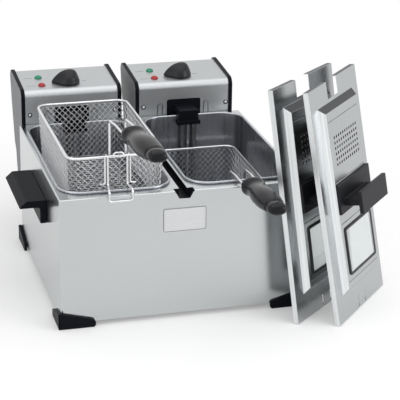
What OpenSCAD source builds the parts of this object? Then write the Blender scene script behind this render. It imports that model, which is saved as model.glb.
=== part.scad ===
// Twin-tank table-top deep fryer with its two lids taken off and leaned
// against the right front corner of the casing.
// Left basket: raised and hooked over the front edge. Right basket: lowered.
// Millimetres, +Z up, -Y towards the user. The origin is on the table, under
// the middle of the whole set's bounding box.

/* [Casing] */
// Casing width, left to right
casing_w = 400; // [360:1:440]
// Casing depth, front to back
casing_d = 382; // [340:1:420]
// Height of the deck above the table
deck_z = 217; // [190:1:240]
// Height of the casing's lower edge
skirt_z = 8.5; // [5:0.5:15]
// Sheet thickness of all bent steel
sheet = 1; // [0.8:0.1:1.5]
// Outside radius of the casing's upright bends
casing_r = 4; // [2:0.5:10]
// Width of the dark channel between the tanks
channel_w = 13; // [10:0.5:20]
// Depth of the channel below the deck
channel_depth = 13; // [8:0.5:20]
// Width of the front notch at the deck
notch_top_w = 32; // [20:1:40]
// Width of the front notch at its bottom
notch_low_w = 17; // [14:0.5:20]
// Depth of the flared front end of the channel
notch_run = 14; // [8:1:20]
// Width of the bare badge plate
badge_w = 70; // [50:1:90]
// Height of the bare badge plate
badge_h = 39; // [25:1:50]

/* [Tanks] */
// Width of a tank between rim centre lines
tank_w = 179.5; // [160:0.5:185]
// Length of a tank between rim centre lines
tank_l = 344.5; // [300:0.5:350]
// Distance from the casing side to the rim centre line
tank_side = 7.5; // [6:0.5:12]
// Distance from the casing front to the rim centre line
tank_front = 19.5; // [12:0.5:30]
// Corner radius of the rim centre line
tank_r = 38; // [25:1:50]
// Radius of the rolled rim
rim_r = 2; // [1.5:0.1:4]
// Height of the tank floor above the table
tank_floor_z = 49; // [35:1:80]

/* [Feet and side handles] */
// How far a foot stands out of the casing
foot_out = 5; // [3:0.5:8]
// Length of each wing of a foot
foot_wing = 60; // [40:1:80]
// Height of a foot at its corner
foot_high = 28; // [20:1:35]
// Height of a foot at its rounded tip
foot_tip = 14; // [10:1:20]
// Length of a side handle along the casing
grip_l = 150; // [120:1:180]
// Reach of a side handle
grip_reach = 43.5; // [35:0.5:55]
// Height of the side handle's top face
grip_top_z = 175; // [150:1:190]
// Height of the side handle's flange
grip_flange_h = 39.5; // [30:0.5:50]
// Thickness of the handle's grip plate
grip_t = 12; // [8:0.5:16]

/* [Control units] */
// Width of a control unit
unit_w = 179; // [160:1:186]
// Left unit's left side, from the casing's left side
unit_left_x = 5; // [4:0.5:20]
// Distance between the left sides of the two units
unit_pitch = 204; // [195:0.5:215]
// Thickness of a plastic side cheek
cheek_t = 7; // [4:0.5:9]
// Plane of the steel front face
unit_front_y = 385; // [384:0.5:392]
// Height at which the front face bends into the top panel
bend_z = 264; // [250:1:270]
// Slope of the top panel, in degrees
panel_tilt = 4.2; // [0:0.1:10]
// Height of the lower end of the unit
unit_low_z = 96; // [60:1:150]
// Knob centre from the unit's left side
knob_x = 87.5; // [70:0.5:100]
// Knob centre along the depth
knob_y = 420; // [405:1:450]
// Radius of the knob's round part
knob_r = 20.5; // [16:0.5:26]
// Height of the knob
knob_h = 24; // [15:0.5:30]
// Pilot lamps from the unit's left side
lamp_x = 41.5; // [25:0.5:50]
// Window width in the front face
window_w = 62; // [50:1:70]
// Element bracket width
bracket_w = 35; // [28:1:40]
// Radius of the heating element's tube
element_r = 3.8; // [3:0.1:5]

/* [Baskets] */
// Width between the basket's rim wires
basket_w = 154; // [140:1:165]
// Length between the basket's rim wires
basket_l = 284; // [250:1:290]
// Depth of a basket below its rim
basket_depth = 98; // [70:1:110]
// How much narrower the basket floor is on each side
basket_taper = 4; // [0:0.5:12]
// Radius of the rim wire
basket_rim_r = 2.2; // [1.5:0.1:3]
// Radius of the hook and handle wires
wire_r = 2; // [1.5:0.1:3]
// Rim height of the raised basket
raised_rim_z = 273; // [260:1:290]
// Rim height of the lowered basket
lowered_rim_z = 165; // [150:1:180]
// Length of the moulded basket grip
basket_grip_l = 140; // [110:1:160]
// Upward tilt of the basket grip, in degrees
basket_grip_tilt = 4; // [0:0.5:15]

/* [Lids] */
// Lid width
lid_w = 188; // [170:1:195]
// Lid length
lid_l = 384; // [350:1:390]
// Depth of the lid's turned-down edge
lid_skirt = 9; // [6:0.5:14]
// Height of the raised field above the lid plate
dome_h = 10.5; // [6:0.5:16]
// Height of the lid handle's outer face above the plate
lid_handle_h = 48; // [35:1:55]
// Number of vent holes along each row
vent_cols = 11; // [8:1:13]
// Number of rows of vent holes
vent_rows = 6; // [4:1:8]
// Radius of a vent hole
vent_r = 2.4; // [1.5:0.1:3]

/* [Hidden] */
$fn = 48;
eps = 0.05;          // assembly clearance between pieces of one body
gap = 0.3;           // clearance between pieces that move apart
ball_k = 1.05;       // ball corners of bent wires, times the wire radius
ball_turn = [30, 20]; // turns each ball's poles away from the wires
deck_under = deck_z - sheet;
mid_line = casing_w / 2;
tank_centre_y = tank_front + tank_l / 2;
tank_left_cx = tank_side + tank_w / 2;
tank_right_cx = casing_w - tank_side - tank_w / 2;
pan_inset = rim_r - sheet;
pan_w = tank_w - 2 * pan_inset;
pan_l = tank_l - 2 * pan_inset;
pan_r = tank_r - pan_inset;
rim_z = deck_z + gap + rim_r;
unit_right_x = unit_left_x + unit_pitch;
cheek_front_y = unit_front_y - 2;
bend_r = 12;                           // outside radius of the front bend
rear_r = 11;                           // and of the rear one
rear_y = 489;                          // centre of the rear bend
back_y = 500;                          // rearmost plane of the cover
rear_low_z = 262;                      // lower end of the rear turn-down
panel_y0 = unit_front_y + bend_r - bend_r * sin(panel_tilt);
panel_z0 = bend_z + bend_r * cos(panel_tilt);
lamp_ys = [412, 450];                  // red lamp, green lamp
cover_w = unit_w - 2 * cheek_t;
bracket_x = unit_w / 2 - 0.5;          // bracket centre within the unit
screw_xs = [15, unit_w - 12];          // face screws from the unit's side
tab_xs = [45.5, 130];                  // lanced tabs either side of the window
tab_z = 227;
face_z = 232.5;                        // and their height
leg_y = 354.5;                         // plane of the element's upright legs
element_z = tank_floor_z + sheet + 6.5;
leg_spread = 11;
foot_pad = 24;                         // foot pad under the casing
foot_hole = 12;                        // foot screw from the outer corner
grip_y = casing_d / 2 - grip_l / 2;
raised_cx = tank_left_cx;
raised_y = 27;
lowered_cx = tank_right_cx - 2.5;
lowered_y = 54.5;
raised_yaw = 3.2;                      // play of the raised basket's handle
lowered_yaw = 0;
pivot_in = 7.5;                        // handle pivot behind the front rim
pivot_down = 6;                        // and below it
handle_off = 2.5;                      // handle's offset from the middle
handle_half = 12.75;                   // half the spacing of handle wires
handle_rise = 57;                      // first bend above the basket rim
handle_step = 36;                      // first bend to second bend
handle_lift = 3.4;                     // second bend above the first
handle_run = 46;                       // second bend to the grip
strap_half = 15.5;                     // half the spacing of the straps
strap_down = 46;                       // straps below the rim
hook_half = 18.5;                      // half the width of the hook
hook_down = 64;                        // hook bar below the rim
hook_out = 29.4;                       // hook bar ahead of the front rim
lid_notch = [70, 356, 41];             // left edge, start, width
dome_lo = [24, 42, 164, 351];          // foot of the raised field
dome_hi = [31, 52, 157, 341];          // its flat top
window = [43, 72, 148, 149];           // glass opening
seal_b = 3.5;                          // width of the seal round the glass
vent_field = [51, 254, 137, 298];      // centres of the outer vent holes
groove_rows = [61.5, 159, 227.5, 326]; // pressed lines across the field
lid_handle_field = [31, 176, 159, 224];
lid_grip_field = [42, 175, 146, 211];
lid_lean_a = 9.2;
lid_turn_a = 41.9;
lid_lean_b = 10.8;
lid_turn_b = 47.5;
lid_pos_a = [370.75, -74.36, lid_skirt * sin(lid_lean_a)];
lid_pos_b = [432.85, -97.66, lid_skirt * sin(lid_lean_b)];
frame_x = 258.18;                      // middle of the set's bounding box
frame_y = 158.5;

steel = [0.78, 0.79, 0.8];
bright = [0.86, 0.87, 0.88];
black = [0.1, 0.1, 0.12];
grey = [0.45, 0.46, 0.48];

// ---------------------------------------------------------------- helpers

// Moves the casing's front left corner frame to the stored frame.
module place() {
  translate([-frame_x, -frame_y, 0]) children();
}

// Rectangle with rounded corners, centred.
module round_rect(w, l, r) {
  square([w - 2 * r, l], center = true);
  square([w, l - 2 * r], center = true);
  for (sx = [-1, 1], sy = [-1, 1])
    translate([sx * (w / 2 - r), sy * (l / 2 - r)]) circle(r);
}

// Upright prism on a rounded rectangle.
module round_block(w, l, r, h) {
  linear_extrude(h) round_rect(w, l, r);
}

// Round bar bent into a closed rounded rectangle, centred on z = 0.
module bar_loop(w, l, rc, rb) {
  for (s = [-1, 1]) {
    translate([s * w / 2, rc - l / 2, 0]) rotate([-90, 0, 0])
      cylinder(r = rb, h = l - 2 * rc);
    translate([rc - w / 2, s * l / 2, 0]) rotate([0, 90, 0])
      cylinder(r = rb, h = w - 2 * rc);
  }
  corners = [[1, 1, 0], [-1, 1, 90], [-1, -1, 180], [1, -1, 270]];
  for (c = corners)
    translate([c[0] * (w / 2 - rc), c[1] * (l / 2 - rc), 0])
      rotate([0, 0, c[2]])
        rotate_extrude(angle = 90) translate([rc, 0]) circle(rb);
}

// Round bar from point p to point q.
module bar(p, q, r) {
  d = q - p;
  run = norm(d);
  translate(p) rotate([0, acos(d[2] / run), atan2(d[1], d[0])])
    cylinder(r = r, h = run);
}

// Round wire through a list of points, with slightly fuller ball corners.
module wire(points, r, turn = 0) {
  last = len(points) - 1;
  for (i = [1 : last])
    union() {
      bar(points[i - 1], points[i], r);
      if (i < last)
        translate(points[i]) rotate([ball_turn[0], ball_turn[1], turn])
          sphere(r * ball_k);
    }
}

// Points of an arc, angles in degrees.
function arc(c, r, a0, a1, n) =
  [for (i = [0 : n]) let (a = a0 + (a1 - a0) * i / n)
    [c[0] + r * cos(a), c[1] + r * sin(a)]];

// Draws a profile given in depth and height, extruded along the width.
module across(x0, x1) {
  translate([x0, 0, 0]) rotate([90, 0, 90])
    linear_extrude(x1 - x0) children();
}

// Height of the top panel at a given depth.
function panel_at(y) = panel_z0 + (y - panel_y0) * tan(panel_tilt);

// Puts its children on the top panel, their +Z along the panel's normal.
module on_panel(x, y) {
  translate([x, y, panel_at(y)]) rotate([panel_tilt, 0, 0]) children();
}

// Frustum between two rectangles given as [x0, y0, x1, y1].
module frustum(low, high, z0, z1) {
  a = low;
  b = high;
  polyhedron(
    points = [
      [a[0], a[1], z0], [a[2], a[1], z0], [a[2], a[3], z0], [a[0], a[3], z0],
      [b[0], b[1], z1], [b[2], b[1], z1], [b[2], b[3], z1], [b[0], b[3], z1]],
    faces = [
      [0, 1, 2, 3], [7, 6, 5, 4], [0, 4, 5, 1], [1, 5, 6, 2],
      [2, 6, 7, 3], [3, 7, 4, 0]]);
}

// Box between two corners of a lid field, from height z0 to z1.
module field(f, z0, z1) {
  translate([f[0], f[1], z0]) cube([f[2] - f[0], f[3] - f[1], z1 - z0]);
}

// ----------------------------------------------------------------- casing

// Bent steel casing: deck with two tank openings, four walls, front notch.
module casing() {
  color(steel) difference() {
    translate([mid_line, casing_d / 2, skirt_z])
      round_block(casing_w, casing_d, casing_r, deck_z - skirt_z);
    translate([mid_line, casing_d / 2, skirt_z - 1])
      round_block(casing_w - 2 * sheet, casing_d - 2 * sheet,
        casing_r - sheet, deck_under - skirt_z + 1);
    for (cx = [tank_left_cx, tank_right_cx])
      translate([cx, tank_centre_y, deck_under - 1])
        round_block(pan_w + 1.2, pan_l + 1.2, pan_r + 0.6, sheet + 2);
    translate([mid_line - channel_w / 2, 2, deck_under - 1])
      cube([channel_w, casing_d - 2 - 12, sheet + 2]);
    translate([mid_line, 0, 0]) notch_space(sheet, 0.1);
    handle_holes();
  }
}

// Flared opening of the notch in the front wall and the deck margin.
module notch_space(run, over) {
  translate([0, -over, 0]) rotate([90, 0, 180])
    linear_extrude(run + 2 * over) notch_profile(0, over);
  translate([-notch_top_w / 2, -over, deck_under - 1])
    cube([notch_top_w, notch_run + over, sheet + 2]);
}

// Notch outline in width and height, grown inwards by t.
module notch_profile(t, over) {
  low = deck_z - channel_depth + t;
  polygon([
    [-notch_low_w / 2 + t, low], [notch_low_w / 2 - t, low],
    [notch_top_w / 2 - t, deck_z + over],
    [-notch_top_w / 2 + t, deck_z + over]]);
}

// Holes for the screws of both side handles.
module handle_holes() {
  for (side = [0, 1], s = [-1, 1])
    translate([side * casing_w, casing_d / 2 + s * grip_l / 3,
      grip_top_z - grip_flange_h / 2])
      rotate([0, 90, 0]) cylinder(r = 2, h = 4, center = true);
}

// Plate that closes the casing from below, with rows of air slots.
module base_plate() {
  color(grey) difference() {
    translate([mid_line, casing_d / 2, skirt_z])
      round_block(casing_w - 2 * sheet - 2 * eps,
        casing_d - 2 * sheet - 2 * eps, casing_r - sheet, sheet);
    for (cx = [tank_left_cx, tank_right_cx], i = [-3 : 3])
      translate([cx - 40, casing_d / 2 + i * 16 - 2, skirt_z - 1])
        cube([80, 4, sheet + 2]);
    foot_holes(2);
  }
}

// Dark trough under the slot between the tanks, flared at its front end.
module centre_channel() {
  wall = 1.6;
  low = deck_z - channel_depth - wall;
  color(black) difference() {
    union() {
      translate([mid_line - channel_w / 2 - wall, notch_run + 1, low])
        cube([channel_w + 2 * wall, casing_d - 12 - notch_run, deck_under - eps - low]);
      translate([mid_line - notch_top_w / 2 - wall, sheet + eps, low])
        cube([notch_top_w + 2 * wall, notch_run + 1, deck_under - eps - low]);
    }
    translate([mid_line - channel_w / 2, notch_run, low + wall])
      cube([channel_w, casing_d - 13 - notch_run, channel_depth]);
    translate([mid_line, notch_run + 0.5, 0]) rotate([90, 0, 0])
      linear_extrude(notch_run + 1) notch_profile(0, 1);
  }
}

// Bare badge plate with an engraved border.
module badge_plate() {
  line = 0.6;
  inset = 4;
  color(bright) translate([mid_line, -eps, 150 + badge_h / 2])
    rotate([90, 0, 0]) difference() {
      round_block(badge_w, badge_h, 3, 1);
      translate([0, 0, 0.7]) linear_extrude(1) difference() {
        round_rect(badge_w - inset, badge_h - inset, 2);
        round_rect(badge_w - inset - 2 * line, badge_h - inset - 2 * line, 1.5);
      }
    }
}

// Side handle on the left wall: flange, grip plate, chamfered outer edge.
module side_handle() {
  low = grip_top_z - grip_flange_h;
  under = grip_top_z - grip_t;
  flange = 10.5;
  r = 4;
  fillet = arc([-flange - r, under - r], r, 0, 90, 6);
  color(black) difference() {
    translate([0, grip_y + grip_l, 0]) rotate([90, 0, 0])
      linear_extrude(grip_l) polygon(concat(
        [[-eps, low], [-flange, low]], fillet,
        [[-grip_reach, under], [-grip_reach, under + 2],
          [-grip_reach + 11.5, grip_top_z], [-eps, grip_top_z]]));
    for (s = [-1, 1])
      translate([0.5, casing_d / 2 + s * grip_l / 3,
        grip_top_z - grip_flange_h / 2])
        rotate([0, -90, 0]) cylinder(r = 1.9, h = 9);
  }
}

// Four screws that hold the side handles, heads inside the casing.
module handle_screws() {
  color(grey) for (side = [0, 1], s = [-1, 1])
    translate([side * casing_w, casing_d / 2 + s * grip_l / 3,
      grip_top_z - grip_flange_h / 2])
      rotate([0, side == 0 ? -90 : 90, 0]) {
        translate([0, 0, -sheet - eps]) cylinder(r = 1.85, h = 9);
        translate([0, 0, -sheet - eps - 2.4]) cylinder(r = 4, h = 2.4);
      }
}

// Side view of a foot wing, from the corner at 0 to the tip.
module wing_profile() {
  tip_r = 7;
  flat = foot_wing - tip_r;
  polygon(concat(
    [[0, 0], [foot_wing - 3, 0], [foot_wing, 3]],
    arc([flat, foot_tip - tip_r], tip_r, 0, 80, 8),
    [[0, foot_high]]));
}

// One corner foot, its outer corner at the origin, wings along +X and +Y.
module foot() {
  difference() {
    union() {
      translate([0, foot_out - eps, 0]) rotate([90, 0, 0])
        linear_extrude(foot_out - eps) wing_profile();
      mirror([1, -1, 0]) translate([0, foot_out - eps, 0]) rotate([90, 0, 0])
        linear_extrude(foot_out - eps) wing_profile();
      translate([1, 1, 0])
        cube([foot_pad, foot_pad, skirt_z - eps]);
    }
    translate([foot_out + foot_hole, foot_out + foot_hole, -1])
      cylinder(r = 2, h = 20);
    translate([foot_out + foot_hole, foot_out + foot_hole, -1])
      cylinder(r = 4.2, h = 4.5);
    translate([-1, -1, -1]) cube([1.5, 1.5, foot_high + 2]);
  }
}

// Puts its children at the four corners, mirrored to suit.
module at_corners() {
  for (mx = [0, 1], my = [0, 1])
    translate([mx * casing_w, my * casing_d, 0])
      mirror([mx, 0, 0]) mirror([0, my, 0]) children();
}

// The four black corner feet.
module feet() {
  color(black) at_corners()
    translate([-foot_out, -foot_out, 0]) foot();
}

// Holes for the foot screws in the base plate.
module foot_holes(r) {
  at_corners() translate([foot_hole, foot_hole, 0])
    cylinder(r = r, h = 2 * skirt_z);
}

// Four screws that hold the feet.
module foot_screws() {
  color(grey) at_corners() translate([foot_hole, foot_hole, 1]) {
    cylinder(r = 4, h = 2.5 - eps);
    cylinder(r = 1.9, h = skirt_z + 3);
  }
}

// ------------------------------------------------------------------ tanks

// Deep-drawn pan with a rolled rim that rests on the deck.
module tank(cx) {
  color(bright) translate([cx, tank_centre_y, 0]) difference() {
    union() {
      translate([0, 0, tank_floor_z])
        round_block(pan_w, pan_l, pan_r, rim_z - tank_floor_z);
      translate([0, 0, rim_z]) bar_loop(tank_w, tank_l, tank_r, rim_r);
    }
    translate([0, 0, tank_floor_z + sheet])
      round_block(pan_w - 2 * sheet, pan_l - 2 * sheet, pan_r - sheet,
        rim_z + rim_r - tank_floor_z);
  }
}

// ---------------------------------------------------------- control units

// Outline of a cheek in depth and height.
module cheek_profile() {
  polygon(concat(
    [[cheek_front_y, unit_low_z], [cheek_front_y, bend_z]],
    arc([cheek_front_y + bend_r + 2, bend_z], bend_r + 2, 180, 95, 6),
    arc([492.5, 271], 14.3, 94, -26, 8),
    [[496, 227], [472, 158], [458, 145], [448, 108], [440, unit_low_z]]));
}

// One plastic cheek that closes the side of a unit.
module cheek(x0) {
  color(grey) across(x0, x0 + cheek_t) cheek_profile();
}

// Outline of the steel cover's outer face, t mm inside it.
function cover_line(t) = concat(
  [[unit_front_y + t, unit_low_z + 4]],
  arc([unit_front_y + bend_r, bend_z], bend_r - t, 180, 90 + panel_tilt, 10),
  arc([rear_y, panel_at(rear_y) - rear_r / cos(panel_tilt)], rear_r - t,
    90 + panel_tilt, 0, 6),
  [[back_y - t, rear_low_z]]);

// The same list, last entry first.
function reversed(list) = [for (i = [len(list) - 1 : -1 : 0]) list[i]];

// Bent steel cover: front face, soft bend, top panel, rear turn-down.
module unit_cover(x0) {
  color(steel) difference() {
    across(x0 + cheek_t + eps, x0 + unit_w - cheek_t - eps)
      polygon(concat(cover_line(0), reversed(cover_line(sheet))));
    // window for the element bracket
    translate([x0 + bracket_x, unit_front_y, 0]) rotate([90, 0, 0])
      translate([0, 0, -2]) linear_extrude(4) window_shape();
    // lanced tabs either side of the window
    for (x = tab_xs)
      translate([x0 + x, unit_front_y, tab_z]) rotate([90, 0, 0])
        translate([0, 0, -2]) linear_extrude(4) tab_slit();
    for (x = screw_xs)
      translate([x0 + x, unit_front_y - 1, face_z]) rotate([-90, 0, 0])
        cylinder(r = 2, h = 4);
    on_panel(x0 + knob_x, knob_y) cylinder(r = 4, h = 8, center = true);
    for (y = lamp_ys)
      on_panel(x0 + lamp_x, y) cylinder(r = 5.2, h = 8, center = true);
  }
}

// Window outline: square foot, rounded top corners.
module window_shape() {
  r = 4;
  top = 244;
  low = 205;
  translate([-window_w / 2, low]) square([window_w, top - low - r]);
  translate([-window_w / 2 + r, low]) square([window_w - 2 * r, top - low]);
  for (s = [-1, 1])
    translate([s * (window_w / 2 - r), top - r]) circle(r);
}

// Narrow slit round a tab, shaped like an upside-down U.
module tab_slit() {
  r = 5;
  slit = 1.2;
  h = 21;
  difference() {
    union() {
      translate([0, h / 2 - r]) circle(r);
      translate([-r, -h / 2]) square([2 * r, h - r]);
    }
    translate([0, h / 2 - r]) circle(r - slit);
    translate([slit - r, -h / 2 - 1]) square([2 * (r - slit), h - r + 1]);
  }
}

// Sheet that closes a unit at the back and below.
module unit_back(x0) {
  line = [
    [unit_front_y, unit_low_z + 4 - 2 * eps], [unit_front_y, unit_low_z + 1],
    [438, unit_low_z + 1], [445, 108], [455, 144], [469, 158], [492, 227],
    [back_y, rear_low_z - 2 * eps]];
  inner = [
    [unit_front_y + sheet, unit_low_z + 4 - 2 * eps],
    [unit_front_y + sheet, unit_low_z + 1 + sheet],
    [437.2, unit_low_z + 1 + sheet], [444, 108.3], [454.2, 144.8],
    [468.2, 158.8], [491, 227.3],
    [back_y - sheet, rear_low_z - 2 * eps]];
  color(grey) difference() {
    across(x0 + cheek_t + eps, x0 + unit_w - cheek_t - eps)
      polygon(concat(line, reversed(inner)));
    at_reset(x0) cylinder(r = 5.1, h = 10, center = true);
    at_gland(x0) cylinder(r = 6.05, h = 10, center = true);
    // air slots
    for (i = [-3 : 3])
      translate([x0 + unit_w / 2 + i * 14 - 2.5, 435, 110])
        cube([5, 30, 22]);
  }
}

// Seat of the reset button on the upper part of the back.
module at_reset(x0) {
  translate([x0 + 130, 496, 244.5]) rotate([-102.88, 0, 0]) children();
}

// Seat of the cord inlet on the lower part of the back.
module at_gland(x0) {
  translate([x0 + 45, 480.5, 192.5]) rotate([-108.43, 0, 0]) children();
}

// Button of the overheat cut-out, held by a collar inside the back.
module reset_button(x0) {
  color(black) at_reset(x0) {
    translate([0, 0, -4]) cylinder(r = 5, h = 8);
    translate([0, 0, -sheet - gap - 3]) cylinder(r = 7, h = 3);
  }
}

// Cord inlet with its nut; the cord itself is not part of the model.
module cord_gland(x0) {
  color(black) at_gland(x0) difference() {
    union() {
      translate([0, 0, -8]) cylinder(r = 6, h = 12);
      translate([0, 0, eps]) cylinder(r = 9, h = 4);
      translate([0, 0, 4]) cylinder(r1 = 9, r2 = 6.5, h = 10);
      translate([0, 0, -sheet - 5.1]) cylinder(r = 9, h = 5, $fn = 6);
    }
    translate([0, 0, -10]) cylinder(r = 3.6, h = 30);
  }
}

// Thermostat body under the top panel, bored for the knob's spindle.
module thermostat(x0) {
  color(grey) on_panel(x0 + knob_x, knob_y) difference() {
    union() {
      translate([-19, -17, -26]) cube([38, 34, 22]);
      translate([0, 0, -4.01]) cylinder(r = 8, h = 4.01 - sheet - 0.2);
    }
    translate([0, 0, -20]) cylinder(r = 3.05, h = 24);
  }
}

// Level slice of the knob: a drop shape from its round end to its tip.
module knob_slice(z, round_x, r, tip_x, tip_r, t) {
  translate([round_x, 0, z]) cylinder(r = r, h = t);
  translate([tip_x, 0, z]) cylinder(r = tip_r, h = t);
}

// Pointer knob with its spindle; the tip points to the left.
module knob(x0) {
  color(black) on_panel(x0 + knob_x, knob_y) {
    translate([0, 0, -14]) cylinder(r = 3, h = 20);
    hull() {
      knob_slice(0.8, 2.5, knob_r, -27, 2.5, 4);
      knob_slice(knob_h * 0.45, 3, knob_r - 2.5, -20.5, 2.5, 0.5);
      knob_slice(knob_h * 0.78, 5, 11, -11, 3, 0.5);
      knob_slice(knob_h - 0.5, 7, 4, -2, 2.5, 0.5);
    }
  }
}

// Domed pilot lamp with its body below the panel.
module lamp(x0, y, tint) {
  cap = 3.6;
  ball = 8;
  color(tint) on_panel(x0 + lamp_x, y) {
    translate([0, 0, -14]) cylinder(r = 5.1, h = 15);
    translate([0, 0, eps]) cylinder(r = 6.6, h = 1.2);
    translate([0, 0, 1.2]) intersection() {
      cylinder(r = 6.6, h = cap);
      translate([0, 0, cap - ball]) sphere(ball);
    }
  }
}

// Black bracket: plate behind the window, arm over the rim, flared head.
module element_bracket(x0) {
  cx = x0 + bracket_x;
  half = bracket_w / 2;
  front = leg_y - 7;
  top = 233;
  plate_w = 68;
  low = rim_z + rim_r + gap + 0.4;
  color(black) difference() {
    union() {
      translate([cx - plate_w / 2, unit_front_y + sheet + eps, 203])
        cube([plate_w, 3, 44]);
      translate([cx - half, front, low])
        cube([bracket_w, unit_front_y + sheet + 1 - front, top - low]);
      translate([cx - half, front, 212])
        cube([bracket_w, 11.2, top - 212]);
      translate([cx - half - 3.5, front - 1, 207])
        cube([bracket_w + 7, 12.2, 7]);
    }
    for (s = [-1, 1])
      translate([cx + s * leg_spread, leg_y, 200])
        cylinder(r = element_r + eps, h = 24);
    translate([cx, leg_y, 200]) cylinder(r = 2.55, h = 24);
  }
}

// Tubular heating element: two legs and a flat loop over the tank floor.
module element(x0) {
  cx = x0 + bracket_x;
  far = 62;
  side = 55;
  back = 330;
  color(grey) for (s = [-1, 1]) wire([
    [cx + s * leg_spread, leg_y, 223],
    [cx + s * leg_spread, leg_y, element_z],
    [cx + s * leg_spread, back, element_z],
    [cx + s * side, back, element_z],
    [cx + s * side, far, element_z],
    [cx + s * leg_spread * 1.6, far, element_z],
    [cx + s * leg_spread * 1.6, back - 30, element_z]], element_r);
  color(grey) bar([cx - leg_spread * 1.6, back - 30, element_z],
    [cx + leg_spread * 1.6, back - 30, element_z], element_r);
  color(grey) for (s = [-1, 1])
    translate([cx + s * leg_spread * 1.6, back - 30, element_z])
      sphere(element_r * ball_k);
}

// Temperature probe between the element's legs.
module sensor(x0) {
  color(bright) translate([x0 + bracket_x, leg_y, 0]) {
    translate([0, 0, 80]) cylinder(r = 2.5, h = 142);
    translate([0, 0, 80]) sphere(2.5);
  }
}

// Two pan-head screws in the front face of a unit.
module unit_screws(x0) {
  color(grey) for (x = screw_xs)
    translate([x0 + x, unit_front_y - eps, face_z]) rotate([90, 0, 0]) {
      difference() {
        cylinder(r = 3.6, h = 2);
        translate([-2.6, -0.5, 1.2]) cube([5.2, 1, 2]);
        translate([-0.5, -2.6, 1.2]) cube([1, 5.2, 2]);
      }
      translate([0, 0, -8]) cylinder(r = 1.9, h = 8.5);
    }
}

// ---------------------------------------------------------------- baskets

// Thin walls and floor of a basket, drawn as a closed skin.
module basket_mesh(cx, y0, z) {
  skin = 1.6;
  r = 18;
  top = z - basket_rim_r - eps;
  sx = (basket_w - 2 * basket_taper) / basket_w;
  sy = (basket_l - 2 * basket_taper) / basket_l;
  color(bright) translate([cx, y0 + basket_l / 2, z - basket_depth])
    difference() {
      mirror([0, 0, 1]) translate([0, 0, -basket_depth + z - top])
        linear_extrude(top - z + basket_depth, scale = [sx, sy], slices = 1)
          round_rect(basket_w + skin, basket_l + skin, r);
      translate([0, 0, skin]) mirror([0, 0, 1])
        translate([0, 0, -basket_depth - 0.01])
          linear_extrude(basket_depth, scale = [sx, sy], slices = 1)
            round_rect(basket_w - skin, basket_l - skin, r - skin / 2);
    }
}

// Rim wire with the two lugs that carry the folding handle.
module basket_rim(cx, y0, z) {
  color(bright) difference() {
    union() {
      translate([cx, y0 + basket_l / 2, z])
        bar_loop(basket_w, basket_l, 18, basket_rim_r);
      for (s = [-1, 1])
        translate([cx + handle_off + s * 18 - 1, y0 + 1, z - pivot_down - 5])
          cube([2, pivot_in + 4, pivot_down + 5]);
    }
    translate([cx - 30, y0 + pivot_in, z - pivot_down]) rotate([0, 90, 0])
      cylinder(r = wire_r + eps, h = 60);
  }
}

// Hook wires on the front wall: down, forward and over the casing's edge.
module basket_hook(cx, y0, z) {
  y1 = y0 - basket_rim_r - wire_r - eps;
  y2 = y0 - hook_out;
  color(bright) {
    for (s = [-1, 1])
      wire([[cx + s * strap_half, y1, z + 2],
        [cx + s * strap_half, y1, z - strap_down],
        [cx + s * hook_half, y2 + 4, z - strap_down],
        [cx + s * hook_half, y2, z - strap_down - 4],
        [cx + s * hook_half, y2, z - hook_down + 4],
        [cx + s * (hook_half - 4), y2, z - hook_down],
        [cx, y2, z - hook_down]], wire_r);
  }
}

// Unit vector along the grip.
function grip_dir(yaw) = [
  sin(yaw) * cos(basket_grip_tilt), -cos(yaw) * cos(basket_grip_tilt),
  sin(basket_grip_tilt)];

// Unit vector along the wires between their second bend and the grip.
function run_dir(yaw) = [sin(yaw), -cos(yaw), 0];

// Wire of the handle on one side: pivot end, upright, two bends, grip.
function handle_path(cx, y0, z, yaw, s, run) =
  let (x = cx + handle_off + s * handle_half, yb = y0 + pivot_in - 2,
    zb = z + handle_rise, d = run_dir(yaw),
    p = [x, yb, zb] + handle_step * d + [0, 0, handle_lift],
    q = p + handle_run * d)
  [[x + s * 9, y0 + pivot_in, z - pivot_down],
    [x, y0 + pivot_in, z - pivot_down], [x, yb, zb], p, q,
    q + run * grip_dir(yaw)];

// The two handle wires, with ends turned outwards through the lugs.
module basket_handle(cx, y0, z, yaw) {
  color(bright) for (s = [-1, 1])
    wire(handle_path(cx, y0, z, yaw, s, 45), wire_r, yaw);
}

// Oval slice of the moulded grip at distance s along it.
module grip_slice(w, h, s) {
  translate([0, 0, s]) linear_extrude(0.8) resize([w, h]) circle(10, $fn = 32);
}

// Moulded grip: wide collar, long oval body, blunt end.
module basket_grip(cx, y0, z, yaw) {
  wires = [for (s = [-1, 1]) handle_path(cx, y0, z, yaw, s, 45.5)];
  color(black) difference() {
    translate((wires[0][4] + wires[1][4]) / 2)
      rotate([90 - basket_grip_tilt, 0, yaw]) {
        hull() {
          grip_slice(36, 26, 0);
          grip_slice(39, 31, 6);
          grip_slice(36.5, 27, 14);
        }
        hull() {
          grip_slice(31, 23, 10);
          grip_slice(39, 31, 60);
          grip_slice(37.5, 29, 92);
          grip_slice(30.5, 22, 122);
          grip_slice(24, 14, basket_grip_l - 0.8);
        }
      }
    for (w = wires) {
      bar(w[3], w[4], wire_r + eps);
      bar(w[4], w[5], wire_r + eps);
      translate(w[4]) rotate([ball_turn[0], ball_turn[1], yaw]) sphere(wire_r * ball_k + eps);
    }
  }
}

// ------------------------------------------------------------------- lids

// Puts a lid, drawn flat, in its leaning place.
module lean(p, turn, tilt) {
  translate(p) rotate([90 - tilt, 0, turn]) children();
}

// Rectangle list grown by t on every side.
function grown(f, t) = [f[0] - t, f[1] - t, f[2] + t, f[3] + t];

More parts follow.
